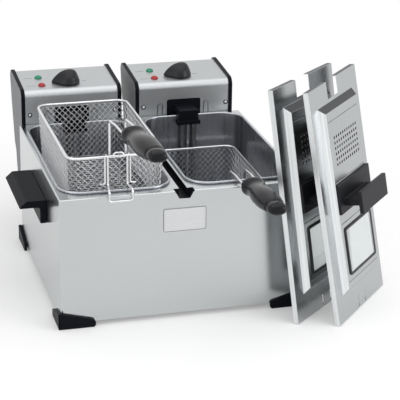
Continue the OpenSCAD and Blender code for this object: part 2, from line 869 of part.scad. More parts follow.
// Pressed lid: plate, turned-down edge, raised field and its openings.
module lid_plate() {
  pitch_x = (vent_field[2] - vent_field[0]) / (vent_cols - 1);
  pitch_y = (vent_field[3] - vent_field[1]) / (vent_rows - 1);
  color(steel) difference() {
    union() {
      translate([0, 0, -lid_skirt]) cube([lid_w, lid_l, lid_skirt]);
      frustum(dome_lo, dome_hi, -0.2, dome_h);
    }
    translate([sheet, sheet, -lid_skirt - 1])
      cube([lid_w - 2 * sheet, lid_l - 2 * sheet, lid_skirt + 1 - sheet]);
    frustum(grown(dome_lo, -0.7), grown(dome_hi, -0.7), -1.5, dome_h - sheet);
    translate([lid_notch[0], lid_notch[1], -lid_skirt - 1])
      cube([lid_notch[2], lid_l, lid_skirt + 2]);
    for (a = [83.5, 109])
      translate([a - 1.5, -1, -lid_skirt - 1]) cube([3, 22, lid_skirt + 2]);
    field(window, dome_h - 2, dome_h + 1);
    for (i = [0 : vent_cols - 1], j = [0 : vent_rows - 1])
      translate([vent_field[0] + i * pitch_x, vent_field[1] + j * pitch_y,
        dome_h - 3])
        cylinder(r = vent_r, h = 5);
    for (b = groove_rows)
      translate([34, b - 0.6, dome_h - 0.4]) cube([120, 1.2, 1]);
    for (a = [60, 128])
      translate([a, 204, dome_h - 3]) cylinder(r = 2.5, h = 5);
  }
}

// Glass of the window, held from above by the seal.
module lid_glass() {
  color([0.7, 0.8, 0.8, 0.4]) field(grown(window, -1.2), dome_h - 1.6, dome_h + 1.2);
}

// Black seal that clips round the glass and the edge of the opening.
module lid_seal() {
  lip = 0.9;
  color(black) difference() {
    union() {
      field(grown(window, seal_b - 1), dome_h + eps, dome_h + 2);
      field(grown(window, -eps), dome_h - 2.4, dome_h + 2);
      field(grown(window, 2), dome_h - 2.4, dome_h - sheet - eps);
    }
    field(grown(window, -1.2 + eps), dome_h - 1.6 - eps, dome_h + 1.2 + eps);
    field(grown(window, -3), dome_h - 5, dome_h + 5);
  }
}

// Filter pad clipped under the vent holes.
module lid_filter() {
  color(grey) field(grown(vent_field, 5), dome_h - sheet - 4, dome_h - sheet - eps);
}

// L-shaped handle: foot plate, web and outer grip plate, two studs.
module lid_handle() {
  base = dome_h + 4.5;
  under = lid_handle_h - 7;
  color(black) {
    field([lid_handle_field[0], lid_handle_field[1],
      lid_handle_field[2], lid_handle_field[3]], dome_h + eps, base);
    field([50, 186, 138, 198], base - 0.1, lid_handle_h - 1);
    field(lid_grip_field, under, lid_handle_h);
    for (a = [60, 128])
      translate([a, 204, dome_h - 1.8]) cylinder(r = 2.4, h = 3);
  }
}

// ------------------------------------------------------------------ nodes

place() casing();
place() base_plate();
place() centre_channel();
place() badge_plate();
place() side_handle();  // side_handle_left
place() translate([casing_w, 0, 0]) mirror([1, 0, 0]) side_handle();  // side_handle_right
place() handle_screws();
place() feet();
place() foot_screws();
place() tank(tank_left_cx);  // tank_left
place() tank(tank_right_cx);  // tank_right
place() unit_cover(unit_left_x);  // unit_cover_left
place() unit_back(unit_left_x);  // unit_back_left
place() cheek(unit_left_x);  // cheek_a_left
place() cheek(unit_left_x + unit_w - cheek_t);  // cheek_b_left
place() thermostat(unit_left_x);  // thermostat_left
place() knob(unit_left_x);  // knob_left
place() lamp(unit_left_x, lamp_ys[1], [0.1, 0.6, 0.35]);  // lamp_green_left
place() lamp(unit_left_x, lamp_ys[0], [0.8, 0.15, 0.15]);  // lamp_red_left
place() element_bracket(unit_left_x);  // element_bracket_left
place() element(unit_left_x);  // element_left
place() sensor(unit_left_x);  // sensor_left
place() reset_button(unit_left_x);  // reset_button_left
place() cord_gland(unit_left_x);  // cord_gland_left
place() unit_screws(unit_left_x);  // unit_screws_left
place() unit_cover(unit_right_x);  // unit_cover_right
place() unit_back(unit_right_x);  // unit_back_right
place() cheek(unit_right_x);  // cheek_a_right
place() cheek(unit_right_x + unit_w - cheek_t);  // cheek_b_right
place() thermostat(unit_right_x);  // thermostat_right
place() knob(unit_right_x);  // knob_right
place() lamp(unit_right_x, lamp_ys[1], [0.1, 0.6, 0.35]);  // lamp_green_right
place() lamp(unit_right_x, lamp_ys[0], [0.8, 0.15, 0.15]);  // lamp_red_right
place() element_bracket(unit_right_x);  // element_bracket_right
place() element(unit_right_x);  // element_right
place() sensor(unit_right_x);  // sensor_right
place() reset_button(unit_right_x);  // reset_button_right
place() cord_gland(unit_right_x);  // cord_gland_right
place() unit_screws(unit_right_x);  // unit_screws_right
place() basket_mesh(raised_cx, raised_y, raised_rim_z);  // basket_mesh_left
place() basket_rim(raised_cx, raised_y, raised_rim_z);  // basket_rim_left
place() basket_hook(raised_cx, raised_y, raised_rim_z);  // basket_hook_left
place() basket_handle(raised_cx, raised_y, raised_rim_z, raised_yaw);  // basket_handle_left
place() basket_grip(raised_cx, raised_y, raised_rim_z, raised_yaw);  // basket_grip_left
place() basket_mesh(lowered_cx, lowered_y, lowered_rim_z);  // basket_mesh_right
place() basket_rim(lowered_cx, lowered_y, lowered_rim_z);  // basket_rim_right
place() basket_hook(lowered_cx, lowered_y, lowered_rim_z);  // basket_hook_right
place() basket_handle(lowered_cx, lowered_y, lowered_rim_z, lowered_yaw);  // basket_handle_right
place() basket_grip(lowered_cx, lowered_y, lowered_rim_z, lowered_yaw);  // basket_grip_right
place() lean(lid_pos_a, lid_turn_a, lid_lean_a) lid_plate();  // lid_plate_a
place() lean(lid_pos_a, lid_turn_a, lid_lean_a) lid_glass();  // lid_glass_a
place() lean(lid_pos_a, lid_turn_a, lid_lean_a) lid_seal();  // lid_seal_a
place() lean(lid_pos_a, lid_turn_a, lid_lean_a) lid_filter();  // lid_filter_a
place() lean(lid_pos_a, lid_turn_a, lid_lean_a) lid_handle();  // lid_handle_a
place() lean(lid_pos_b, lid_turn_b, lid_lean_b) lid_plate();  // lid_plate_b
place() lean(lid_pos_b, lid_turn_b, lid_lean_b) lid_glass();  // lid_glass_b
place() lean(lid_pos_b, lid_turn_b, lid_lean_b) lid_seal();  // lid_seal_b
place() lean(lid_pos_b, lid_turn_b, lid_lean_b) lid_filter();  // lid_filter_b
place() lean(lid_pos_b, lid_turn_b, lid_lean_b) lid_handle();  // lid_handle_b
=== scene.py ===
# %% [markdown]
# # A twin-tank table-top deep fryer
# The fryer is a bent steel casing with two drawn pans hung in it, a control
# head hooked on behind each pan, two wire baskets, and two pressed lids that
# lean against its right front corner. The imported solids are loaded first:
# they fix every size and place, and the pieces made here are dressed on them.
# All lengths in the cells below are written in millimetres from the casing's
# front left corner, because that is how a sheet-metal drawing is dimensioned.

# %% Load the frame and set the measures
import bpy
import bmesh
import math
from mathutils import Matrix, Vector


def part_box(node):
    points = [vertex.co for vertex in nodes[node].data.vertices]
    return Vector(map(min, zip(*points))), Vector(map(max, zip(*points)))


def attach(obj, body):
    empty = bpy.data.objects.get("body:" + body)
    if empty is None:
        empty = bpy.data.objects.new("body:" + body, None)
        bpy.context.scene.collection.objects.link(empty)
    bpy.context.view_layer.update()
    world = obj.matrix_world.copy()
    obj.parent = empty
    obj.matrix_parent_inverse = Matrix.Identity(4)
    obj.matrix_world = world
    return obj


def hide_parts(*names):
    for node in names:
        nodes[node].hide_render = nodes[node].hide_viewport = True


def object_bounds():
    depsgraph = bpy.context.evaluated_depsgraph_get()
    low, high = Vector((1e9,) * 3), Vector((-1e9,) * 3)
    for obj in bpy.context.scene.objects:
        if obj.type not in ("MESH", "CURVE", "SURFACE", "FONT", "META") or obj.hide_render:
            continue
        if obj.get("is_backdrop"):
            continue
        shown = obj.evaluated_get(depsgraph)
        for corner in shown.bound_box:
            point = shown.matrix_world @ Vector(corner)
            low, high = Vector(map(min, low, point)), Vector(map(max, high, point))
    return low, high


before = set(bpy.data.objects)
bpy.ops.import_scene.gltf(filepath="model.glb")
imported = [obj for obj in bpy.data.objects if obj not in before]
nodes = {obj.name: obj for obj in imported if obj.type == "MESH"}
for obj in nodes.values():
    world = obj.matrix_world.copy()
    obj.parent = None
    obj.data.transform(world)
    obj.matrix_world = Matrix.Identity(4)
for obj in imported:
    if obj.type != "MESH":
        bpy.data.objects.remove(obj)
cad_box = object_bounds()
SIDES = ("left", "right")

MM = 0.001
corner = [min(v.co[i] for v in nodes["casing"].data.vertices) for i in (0, 1)]
ORIGIN = Vector((-corner[0] / MM, -corner[1] / MM, 0.0))  # the shared frame's origin in the drawing


def at(x, y, z):
    """A drawing point in millimetres, as a point of the shared frame in metres."""
    return (Vector((x, y, z)) - ORIGIN) * MM


print("solids:", len(nodes), "box mm:", [round(v / MM) for v in cad_box[1] - cad_box[0]])

# %% [markdown]
# ## The camera
# The object is looked at through a long lens from a little above the table,
# so that upright edges stay almost upright. The camera's turn, tilt and roll
# are written as three angles, and its axes are worked out from them. That is
# easier to read and to correct than a matrix of nine numbers.

# %% Camera
TURN, TILT, ROLL = math.radians(15.46), math.radians(20.92), math.radians(0.82)
CAMERA_PLACE = (-405.9, -2279.4, 1103.3)
LENS, SENSOR = 144.72, 36.0
ahead = Vector((math.sin(TURN) * math.cos(TILT), math.cos(TURN) * math.cos(TILT), -math.sin(TILT)))
level = Vector((math.cos(TURN), -math.sin(TURN), 0))
above = level.cross(ahead)
right = math.cos(ROLL) * level + math.sin(ROLL) * above
up = math.cos(ROLL) * above - math.sin(ROLL) * level
camera = bpy.data.objects.new("camera", bpy.data.cameras.new("camera"))
bpy.context.scene.collection.objects.link(camera)
facing = Matrix((right, up, -ahead)).transposed().to_4x4()
camera.matrix_world = Matrix.Translation(at(*CAMERA_PLACE)) @ facing
camera.data.sensor_width = SENSOR
camera.data.lens = LENS
bpy.context.scene.camera = camera
print("camera at", [round(v, 3) for v in camera.location], "lens", camera.data.lens)

# %% [markdown]
# ## Placing nodes
# The light, the finishes and many of the shapes are node trees. A node can be
# placed by hand in the editor, but a script gives the same tree every time.
# One helper places a node, changes its settings, and fills its sockets: a
# plain value is set, and another node's socket is wired.

# %% Node helpers
def put(tree, kind, wires=(), **settings):
    """A node with its settings, and its sockets by name or number wired or set."""
    node = tree.nodes.new(kind)
    for key, value in settings.items():
        setattr(node, key, value)
    for key, value in dict(wires).items():
        socket = node.inputs[key] if isinstance(key, int) else next(
            s for s in node.inputs if s.name == key and s.enabled)
        if isinstance(value, bpy.types.NodeSocket):
            tree.links.new(value, socket)
        else:
            socket.default_value = value
    return node


def sums(tree, operation, a, b=0.0):
    """One Math node's result."""
    return put(tree, "ShaderNodeMath", {0: a, 1: b}, operation=operation).outputs[0]


def seen_ray(tree):
    """1 for camera, glossy and transmission rays, and 0 for the rest."""
    rays = put(tree, "ShaderNodeLightPath").outputs
    result = rays["Is Camera Ray"]
    for kind in ("Is Glossy Ray", "Is Transmission Ray"):
        result = sums(tree, "MAXIMUM", result, rays[kind])
    return result


print("node helpers:", put.__name__, sums.__name__, seen_ray.__name__)

# %% [markdown]
# ## Light and floor
# Brushed steel shows what stands round it, so the room is nearly all white:
# a big soft box above, a stronger one at the right front and a weak one at
# the left. The backdrop is the world itself. It is plain white for the camera
# and for reflections, and dimmer as a lamp, so the object isn't washed out and
# the floor keeps its soft shadow.

# %% Light and floor
SOFT_BOXES = {  # place and aim in the drawing, width in metres, watts
    "soft_box_top": ((150, 100, 1700), (200, 200, 200), 1.8, 9),
    "soft_box_left": ((-1300, -700, 900), (200, 200, 150), 1.2, 4),
    "soft_box_right": ((1500, -900, 700), (250, 200, 150), 1.2, 12),
}
WORLD_AS_LAMP, WORLD_SEEN = 0.62, 1.0
FLOOR_REACH = 9.0  # metres each way, far past every view
scene = bpy.context.scene
scene.view_settings.view_transform = "Standard"

for name, (place, aim, width, watts) in SOFT_BOXES.items():
    lamp = bpy.data.lights.new(name, "AREA")
    lamp.shape, lamp.size, lamp.energy = "SQUARE", width, watts
    holder = bpy.data.objects.new(name, lamp)
    scene.collection.objects.link(holder)
    holder.location = at(*place)
    holder.rotation_euler = (at(*aim) - holder.location).to_track_quat("-Z", "Y").to_euler()

world = bpy.data.worlds.new("studio")
world.use_nodes = True
scene.world = world
sky = world.node_tree
level_of = put(sky, "ShaderNodeMapRange",
               {"Value": seen_ray(sky), "To Min": WORLD_AS_LAMP, "To Max": WORLD_SEEN})
backdrop = sky.nodes["Background"]
backdrop.inputs["Color"].default_value = (1, 1, 1, 1)
sky.links.new(level_of.outputs[0], backdrop.inputs["Strength"])


def link_mesh(name, verts, faces):
    """A new object at the origin whose mesh holds these points and faces."""
    mesh = bpy.data.meshes.new(name)
    mesh.from_pydata([tuple(v) for v in verts], [], faces)
    mesh.update()
    made = bpy.data.objects.new(name, mesh)
    scene.collection.objects.link(made)
    return made


floor_corners = [(x * FLOOR_REACH, y * FLOOR_REACH, 0) for x, y in ((-1, -1), (1, -1), (1, 1), (-1, 1))]
floor = link_mesh("floor", floor_corners, [(0, 1, 2, 3)])
floor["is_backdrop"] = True

# %% [markdown]
# ## A small kit for finishes
# Every finish is a Principled shader whose steady numbers are set on its own
# sockets, with noise driving only what really varies: the brightness of the
# grain, the roughness and a fine bump. The pattern reads Object coordinates,
# so it stays put when a piece moves. For a piece that lies at a slant, a
# Mapping node turns the grain into the piece's own length.

# %% Finish kit
RELIEF_DEPTH = 0.0004    # metres, before a finish's own bump strength
GRAIN_ENDS = (0.3, 0.7)  # noise at which the darker and the lighter tone are reached
SMOOTHEST = 0.02


def plain(name, color, rough, metal=0.0, **sockets):
    """A material with one Principled shader."""
    mat = bpy.data.materials.new(name)
    mat.use_nodes = True
    shader = mat.node_tree.nodes["Principled BSDF"]
    shader.inputs["Base Color"].default_value = (*color, 1)
    shader.inputs["Roughness"].default_value = rough
    shader.inputs["Metallic"].default_value = metal
    for key, value in sockets.items():
        shader.inputs[key.replace("_", " ")].default_value = value
    return mat


def grain(mat, stretch, turned=(0, 0, 0), tone=0.06, rough=0.08, bump=0.05, detail=3.0):
    """Noise with one scale, or one per axis, into colour, roughness and bump."""
    scales = stretch if isinstance(stretch, tuple) else (stretch,) * 3
    tree = mat.node_tree
    shader = tree.nodes["Principled BSDF"]
    base = shader.inputs["Base Color"].default_value[:3]
    middle = shader.inputs["Roughness"].default_value
    place = put(tree, "ShaderNodeTexCoord").outputs["Object"]
    lay = put(tree, "ShaderNodeMapping",
              {"Vector": place, "Rotation": turned, "Scale": [1 / s for s in scales]}, vector_type="TEXTURE")
    noise = put(tree, "ShaderNodeTexNoise",
                {"Vector": lay.outputs[0], "Scale": 1.0, "Detail": detail}).outputs["Fac"]
    shade = put(tree, "ShaderNodeValToRGB", {"Fac": noise})
    for element, position, share in zip(shade.color_ramp.elements, GRAIN_ENDS, (1 - tone, 1 + tone)):
        element.position = position
        element.color = [min(1, c * share) for c in base] + [1]
    spread = put(tree, "ShaderNodeMapRange",
                 {"Value": noise, "To Min": max(SMOOTHEST, middle - rough), "To Max": middle + rough})
    relief = put(tree, "ShaderNodeBump", {"Strength": bump, "Distance": RELIEF_DEPTH, "Height": noise})
    for node, socket in ((shade, "Base Color"), (spread, "Roughness"), (relief, "Normal")):
        tree.links.new(node.outputs[0], shader.inputs[socket])
    return mat


print("finish helpers:", plain.__name__, grain.__name__)

# %% [markdown]
# ## Steels
# The casing is brushed along its width, so its grain is long along X, and the
# fronts of the control heads are brushed upright. The pans are drawn and
# polished: they are smoother, with faint upright draw lines. The lids are
# brushed along their length, which leans and turns, so each has its own grain.

# %% Steels
LID_PLACE = {  # where a lid's lower corner stands in x and y, and its lean and turn in degrees
    "a": (370.75, -74.36, 9.2, 41.9),
    "b": (432.85, -97.66, 10.8, 47.5),
}


def metal(name, color, middle, stretch, turned=(0, 0, 0), **look):
    """Bare metal with a grain."""
    return grain(plain(name, color, middle, 1.0), stretch, turned, **look)


def lid_brushed(name, color, middle, stretch, **look):
    """Steel brushed along the length of each lid, which leans and turns."""
    return {k: metal(f"{name}_{k}", color, middle, stretch,
                     [math.radians(v) for v in (90 - lean, 0, turn)], **look)
            for k, (_, _, lean, turn) in LID_PLACE.items()}


brushed = metal("brushed_steel", (0.55, 0.57, 0.575), 0.22, (9, 1500, 1500),
                tone=0.012, rough=0.03, bump=0.006, detail=1.0)
head_steel = metal("brushed_steel_head", (0.5, 0.515, 0.525), 0.43, (1200, 1200, 8),
                   tone=0.02, rough=0.04, bump=0.012, detail=1.5)
lid_steel = lid_brushed("brushed_steel_lid", (0.46, 0.475, 0.485), 0.22, (900, 7, 900),
                        tone=0.03, rough=0.05, bump=0.02)
pan_steel = metal("polished_steel", (0.46, 0.47, 0.5), 0.28, (200, 200, 4),
                  tone=0.05, rough=0.05, bump=0.012, detail=1.5)
chrome = metal("chrome_wire", (0.72, 0.725, 0.735), 0.13, 400, tone=0.08, rough=0.04, bump=0.02)
weave_steel = metal("weave_steel", (0.56, 0.565, 0.575), 0.16, 400, tone=0.12, rough=0.05, bump=0.02)
dark_tube = metal("element_steel", (0.33, 0.33, 0.34), 0.3, (120, 120, 20), tone=0.2, rough=0.08)
# painted shadow: near-black steel for the cups round the face screws
painted_shadow_steel = metal("painted_shadow_steel", (0.05, 0.05, 0.055), 0.3, 500, tone=0.2, rough=0.06)
plated = metal("plated_steel", (0.45, 0.455, 0.47), 0.36, 160, tone=0.12, rough=0.08)
badge = metal("badge_steel", (0.66, 0.665, 0.675), 0.3, (8, 1200, 1200), tone=0.03, bump=0.03)
print("steels:", [m.name for m in bpy.data.materials if "steel" in m.name or "chrome" in m.name])

# %% [markdown]
# ## Plastics, rubber, glass and lamps
# The mouldings are black with a fine spark-eroded skin: a small even noise in
# the bump breaks up the highlight without showing as a pattern. What a hand
# holds is glossier than the rest: the basket grips most of all, then the knobs
# and the lids' levers. The cheeks' flat sides are a lighter satin. Lamp caps
# let a little light through, which makes a tinted lens look deep.

# %% Plastics, rubber, glass and lamps
def moulded(name, color, middle, gloss, fine=1200, **look):
    """A moulded plastic with its gloss and an even spark-eroded skin."""
    return grain(plain(name, color, middle, Specular_IOR_Level=gloss), fine, detail=2, **look)


def lens(name, color):
    """Tinted lamp cap that lets a little light through."""
    return grain(plain(name, color, 0.16, Transmission_Weight=0.25, IOR=1.49), 300,
                 tone=0.05, rough=0.03, bump=0.02)


black = moulded("black_plastic", (0.0075, 0.008, 0.0115), 0.4, 0.05, 1500,
                tone=0.15, rough=0.05, bump=0.06)
lever_black = moulded("lever_plastic", (0.011, 0.0115, 0.0145), 0.45, 0.22,
                      tone=0.12, rough=0.04, bump=0.03)
knob_black = moulded("knob_plastic", (0.01, 0.0105, 0.0125), 0.33, 0.3,
                     tone=0.12, rough=0.04, bump=0.04)
grip_black = moulded("grip_plastic", (0.006, 0.0063, 0.0085), 0.2, 0.2,
                     tone=0.12, rough=0.04, bump=0.03)
cheek_grey = moulded("grey_plastic", (0.15, 0.155, 0.165), 0.45, 0.35, 1100,
                     tone=0.06, rough=0.05, bump=0.08)
cream = grain(plain("cream_plastic", (0.6, 0.57, 0.47), 0.5), 300, tone=0.05)
seal = grain(plain("seal_rubber", (0.012, 0.012, 0.013), 0.5), 900, tone=0.2, bump=0.08)
pad = grain(plain("filter_pad", (0.022, 0.022, 0.022), 0.95), 900, tone=0.2, rough=0.03, bump=0.6, detail=6)
green = lens("green_lens", (0.01, 0.32, 0.17))
red = lens("red_lens", (0.5, 0.012, 0.02))
glass = grain(plain("window_glass", (0.8, 0.84, 0.84), 0.04, Transmission_Weight=0.8, IOR=1.5), 40,
              tone=0.02, rough=0.02, bump=0.01)
print("finishes:", len(bpy.data.materials))

# %% [markdown]
# ## Dressing the solids
# Pieces whose solid already has the right shape keep it and only get their
# finish. The table below goes by the start of the node's name, longest first,
# which keeps left and right, and the two lids, alike.

# %% Dress the solids
FINISHES = {
    "casing": brushed, "base_plate": plated, "centre_channel": black, "badge_plate": badge,
    "side_handle": black, "handle_screws": plated, "feet": black, "foot_screws": plated,
    "tank": pan_steel, "unit_cover": head_steel, "unit_back": plated, "cheek": cheek_grey,
    "thermostat": cream, "knob": black, "lamp_green": green, "lamp_red": red,
    "element_bracket": black, "element": dark_tube, "sensor": chrome,
    "reset_button": black, "cord_gland": black, "unit_screws": painted_shadow_steel,
    "basket_mesh": chrome, "basket_rim": chrome, "basket_hook": chrome,
    "basket_handle": chrome, "basket_grip": grip_black, "lid_plate_a": lid_steel["a"],
    "lid_plate_b": lid_steel["b"], "lid_glass": glass, "lid_seal": seal,
    "lid_filter": pad, "lid_handle": lever_black,
}


def finish_for(name):
    """The finish whose key is the longest start of this node's name."""
    return FINISHES[max((k for k in FINISHES if name.startswith(k)), key=len)]


for name, solid in nodes.items():
    solid.data.materials.clear()
    solid.data.materials.append(finish_for(name))
print("dressed:", len(nodes))

# %% [markdown]
# ## A kit for Geometry Nodes
# Wires, woven mesh, screws and printed lines all repeat or follow a path,
# which is what Geometry Nodes are for. Three helpers keep the trees short: one
# opens a tree with named inputs, one closes it with real copies and a finish,
# and one runs a tree on an object and bakes the result, so that what is left
# is a plain mesh. Every finished piece is then settled on its body.

# %% Geometry Nodes kit
MERGE = 1e-6  # metres between points that count as one


def open_tree(name, **sizes):
    """A geometry tree with one geometry in and out and named size inputs."""
    tree = bpy.data.node_groups.new(name, "GeometryNodeTree")
    face = tree.interface
    face.new_socket("Geometry", in_out="INPUT", socket_type="NodeSocketGeometry")
    for label, value in sizes.items():
        kind = {int: "NodeSocketInt", float: "NodeSocketFloat"}.get(type(value), "NodeSocketMaterial")
        socket = face.new_socket(label, in_out="INPUT", socket_type=kind)
        if kind != "NodeSocketMaterial":
            socket.default_value = value
    face.new_socket("Geometry", in_out="OUTPUT", socket_type="NodeSocketGeometry")
    return tree, tree.nodes.new("NodeGroupInput").outputs


def close_tree(tree, geometry, material):
    """Real copies, the given finish, and out."""
    real = put(tree, "GeometryNodeRealizeInstances", {"Geometry": geometry})
    smooth = put(tree, "GeometryNodeSetShadeSmooth", {"Geometry": real.outputs[0]})
    done = put(tree, "GeometryNodeSetMaterial", {"Geometry": smooth.outputs[0], "Material": material})
    put(tree, "NodeGroupOutput", {0: done.outputs[0]})


def bake(tree, name, start, **sizes):
    """Runs a tree on a start object and returns a new plain mesh object."""
    step = start.modifiers.new(tree.name, "NODES")
    step.node_group = tree
    named = {s.name: s.identifier for s in tree.interface.items_tree if s.in_out == "INPUT"}
    for label, value in sizes.items():
        step[named[label]] = value
    graph = bpy.context.evaluated_depsgraph_get()
    mesh = bpy.data.meshes.new_from_object(start.evaluated_get(graph), depsgraph=graph)
    start.modifiers.remove(step)
    bpy.data.objects.remove(start)
    mesh.name = name
    made = bpy.data.objects.new(name, mesh)
    scene.collection.objects.link(made)
    return made


def outward(piece):
    """Turns every face of a closed piece outwards."""
    work = bmesh.new()
    work.from_mesh(piece.data)
    bmesh.ops.remove_doubles(work, verts=work.verts, dist=MERGE)
    bmesh.ops.recalc_face_normals(work, faces=work.faces)
    work.to_mesh(piece.data)
    work.free()
    return piece


def settle(piece, body, slot, *replaced):
    """Rides a finished piece on its body in the place of CAD nodes."""
    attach(piece, body)
    if replaced:
        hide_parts(*replaced)
    print(f"{piece.name}: {len(piece.data.polygons)} faces on {body}")
    return piece


print("tree helpers:", open_tree.__name__, close_tree.__name__, bake.__name__)

# %% [markdown]
# ## Bent wire
# Rims, hooks and handles are round wire bent over a pin, so every corner has
# the same small bend radius. The tree takes the corner points as a chain of
# edges, rounds the corners, and sweeps a circle along the chain. A swept curve
# object could do it too, but one tree serves every wire of the fryer.

# %% Bent wire tree
wire_tree, into = open_tree("bent_wire", Radius=0.002, Bend=0.005, Sides=12, Finish=chrome)
chain = put(wire_tree, "GeometryNodeMeshToCurve", {"Mesh": into["Geometry"]})
bent = put(wire_tree, "GeometryNodeFilletCurve",
           {"Curve": chain.outputs[0], "Radius": into["Bend"], "Count": 5, "Limit Radius": True}, mode="POLY")
section = put(wire_tree, "GeometryNodeCurvePrimitiveCircle",
              {"Resolution": into["Sides"], "Radius": into["Radius"]})
swept = put(wire_tree, "GeometryNodeCurveToMesh",
            {"Curve": bent.outputs[0], "Profile Curve": section.outputs[0], "Fill Caps": True})
close_tree(wire_tree, swept.outputs[0], into["Finish"])


def chain_of(name, chains):
    """A start object of edges only: each chain is a list of points, and a
    chain whose last point repeats its first is closed."""
    points, edges = [], []
    for run in chains:
        closed = (Vector(run[0]) - Vector(run[-1])).length < MERGE
        run = run[:-1] if closed else run
        first = len(points)
        points += [tuple(p) for p in run]
        edges += [(first + i, first + i + 1) for i in range(len(run) - 1)]
        if closed:
            edges.append((first + len(run) - 1, first))
    mesh = bpy.data.meshes.new(name)
    mesh.from_pydata(points, edges, [])
    start = bpy.data.objects.new(name, mesh)
    scene.collection.objects.link(start)
    return start


def bent_wire(name, chains, radius, bend, sides=12):
    """Round wires through chains of drawing points, all in millimetres."""
    runs = [[at(*p) for p in run] for run in chains]
    made = bake(wire_tree, name, chain_of(name + "_path", runs), Radius=radius * MM, Bend=bend * MM,
                Sides=sides, Finish=chrome)
    return outward(made)


print("wire tree nodes:", len(wire_tree.nodes))

# %% [markdown]
# ## Measures of the two baskets
# Both baskets are the same and only stand in different places: the left one
# is hung on the casing's front edge, and the right one stands in its pan. Each
# row gives the middle, the front edge, the rim's height and how far the handle
# is turned aside. A rounded rectangle is the outline of everything drawn.

# %% Basket measures
BASKET = {
    "left": dict(cx=97.25, y0=27.0, z=273.0, yaw=3.2),  # yaw in degrees
    "right": dict(cx=300.25, y0=54.5, z=165.0, yaw=0.0),
}
BASKET_W, BASKET_L, BASKET_DEPTH = 154.0, 284.0, 98.0
BASKET_TAPER, CORNER = 4.0, 18.0  # how far each wall leans in, and the corners' radius


def round_rect(w, l, r, steps=6):
    """Points of a rounded rectangle about the origin, counter-clockwise."""
    ring = []
    for cx, cy, start in ((w / 2 - r, l / 2 - r, 0), (r - w / 2, l / 2 - r, 90),
                          (r - w / 2, r - l / 2, 180), (w / 2 - r, r - l / 2, 270)):
        for i in range(steps + 1):
            a = math.radians(start + 90 * i / steps)
            ring.append((cx + r * math.cos(a), cy + r * math.sin(a)))
    return ring


print("basket mm:", BASKET_W, "x", BASKET_L, "x", BASKET_DEPTH)

# %% [markdown]
# ## Woven basket
# A frying basket is plain-woven wire: each wire goes over the next crossing
# one and under the one after. The cloth is bent round the basket on the skew,
# so the walls show diamonds. The rule is short, so the whole weave is one
# tree: two grids hang from the rim, one leaning each way, and only their
# downward lines are swept. Both cross at every row, and the row's number says
# which of them is outside. The floor is a level grid woven square.

# %% Weave tree
weave, into = open_tree(
    "woven_wire", Around=108, Down=12, Depth=0.09, Shrink=0.95, Wire=0.0007, Wave=0.0008,
    Width=0.14, Length=0.27, Across=18, Along=34, Corner=0.016, Finish=chrome)


def calc(operation, a, b=0.0):
    """One Math node's result in the weave tree."""
    return sums(weave, operation, a, b)


rim_curve = put(weave, "GeometryNodeMeshToCurve", {"Mesh": into["Geometry"]}).outputs[0]
profile = put(weave, "GeometryNodeCurvePrimitiveCircle",
              {"Resolution": 6, "Radius": into["Wire"]}).outputs[0]
index = put(weave, "GeometryNodeInputIndex").outputs[0]
ends = put(weave, "GeometryNodeInputMeshEdgeVertices")
jump = calc("ABSOLUTE", calc("SUBTRACT", ends.outputs[0], ends.outputs[1]))
woven = put(weave, "GeometryNodeJoinGeometry")


def crossing(rows):
    """Column and row of a grid point with so many rows."""
    column = calc("FLOOR", calc("DIVIDE", calc("ADD", index, 0.5), rows))
    return column, calc("SUBTRACT", index, calc("MULTIPLY", column, rows))


def by_turns(number):
    """-1 for an even number and 1 for an odd one."""
    odd = calc("MODULO", number, 2.0)
    return calc("SUBTRACT", calc("MULTIPLY", odd, 2.0), 1.0)


def arrows(operation, wires):
    """One Vector Math node's result."""
    return put(weave, "ShaderNodeVectorMath", wires, operation=operation).outputs[0]


def wires_of(grid, place, lengthwise):
    """Moves a grid and sweeps only its lengthwise or only its cross edges."""
    moved = put(weave, "GeometryNodeSetPosition", {"Geometry": grid, "Position": place})
    one = calc("LESS_THAN", jump, 1.5)  # neighbours in a column are numbered one apart
    drop = calc("SUBTRACT", 1.0, one) if lengthwise else one
    left_over = put(weave, "GeometryNodeDeleteGeometry", {"Geometry": moved.outputs[0], "Selection": drop},
                    domain="EDGE", mode="EDGE_FACE")
    lines = put(weave, "GeometryNodeMeshToCurve", {"Mesh": left_over.outputs[0]})
    tube = put(weave, "GeometryNodeCurveToMesh",
               {"Curve": lines.outputs[0], "Profile Curve": profile, "Fill Caps": True})
    weave.links.new(tube.outputs[0], woven.inputs[0])


rows = calc("ADD", into["Down"], 1.0)
wall = put(weave, "GeometryNodeMeshGrid", {"Vertices X": calc("ADD", into["Around"], 1.0),
                                           "Vertices Y": rows}).outputs[0]
column, row = crossing(rows)
deep = calc("DIVIDE", row, into["Down"])
narrow = put(weave, "ShaderNodeMapRange", {"Value": deep, "To Min": 1.0, "To Max": into["Shrink"]}).outputs[0]
drop_by = calc("MULTIPLY", deep, into["Depth"])
fall = put(weave, "ShaderNodeCombineXYZ", {2: calc("MULTIPLY", drop_by, -1.0)}).outputs[0]
for lean, flip in ((0.5, 1.0), (-0.5, -1.0)):
    along = calc("ADD", column, calc("MULTIPLY", row, lean))
    turn = calc("FLOORED_MODULO", calc("DIVIDE", along, into["Around"]), 1.0)
    sample = put(weave, "GeometryNodeSampleCurve", {"Curves": rim_curve, "Factor": turn},
                 mode="FACTOR", use_all_curves=True)
    out_of = arrows("CROSS_PRODUCT", {0: sample.outputs["Tangent"], 1: (0, 0, 1)})
    ring_at = arrows("SCALE", {0: sample.outputs["Position"], "Scale": narrow})
    push = calc("MULTIPLY", calc("MULTIPLY", by_turns(row), into["Wave"]), flip)
    shift = arrows("SCALE", {0: out_of, "Scale": push})
    wires_of(wall, arrows("ADD", {0: arrows("ADD", {0: ring_at, 1: fall}), 1: shift}), True)
print("weave tree nodes for the walls:", len(weave.nodes))

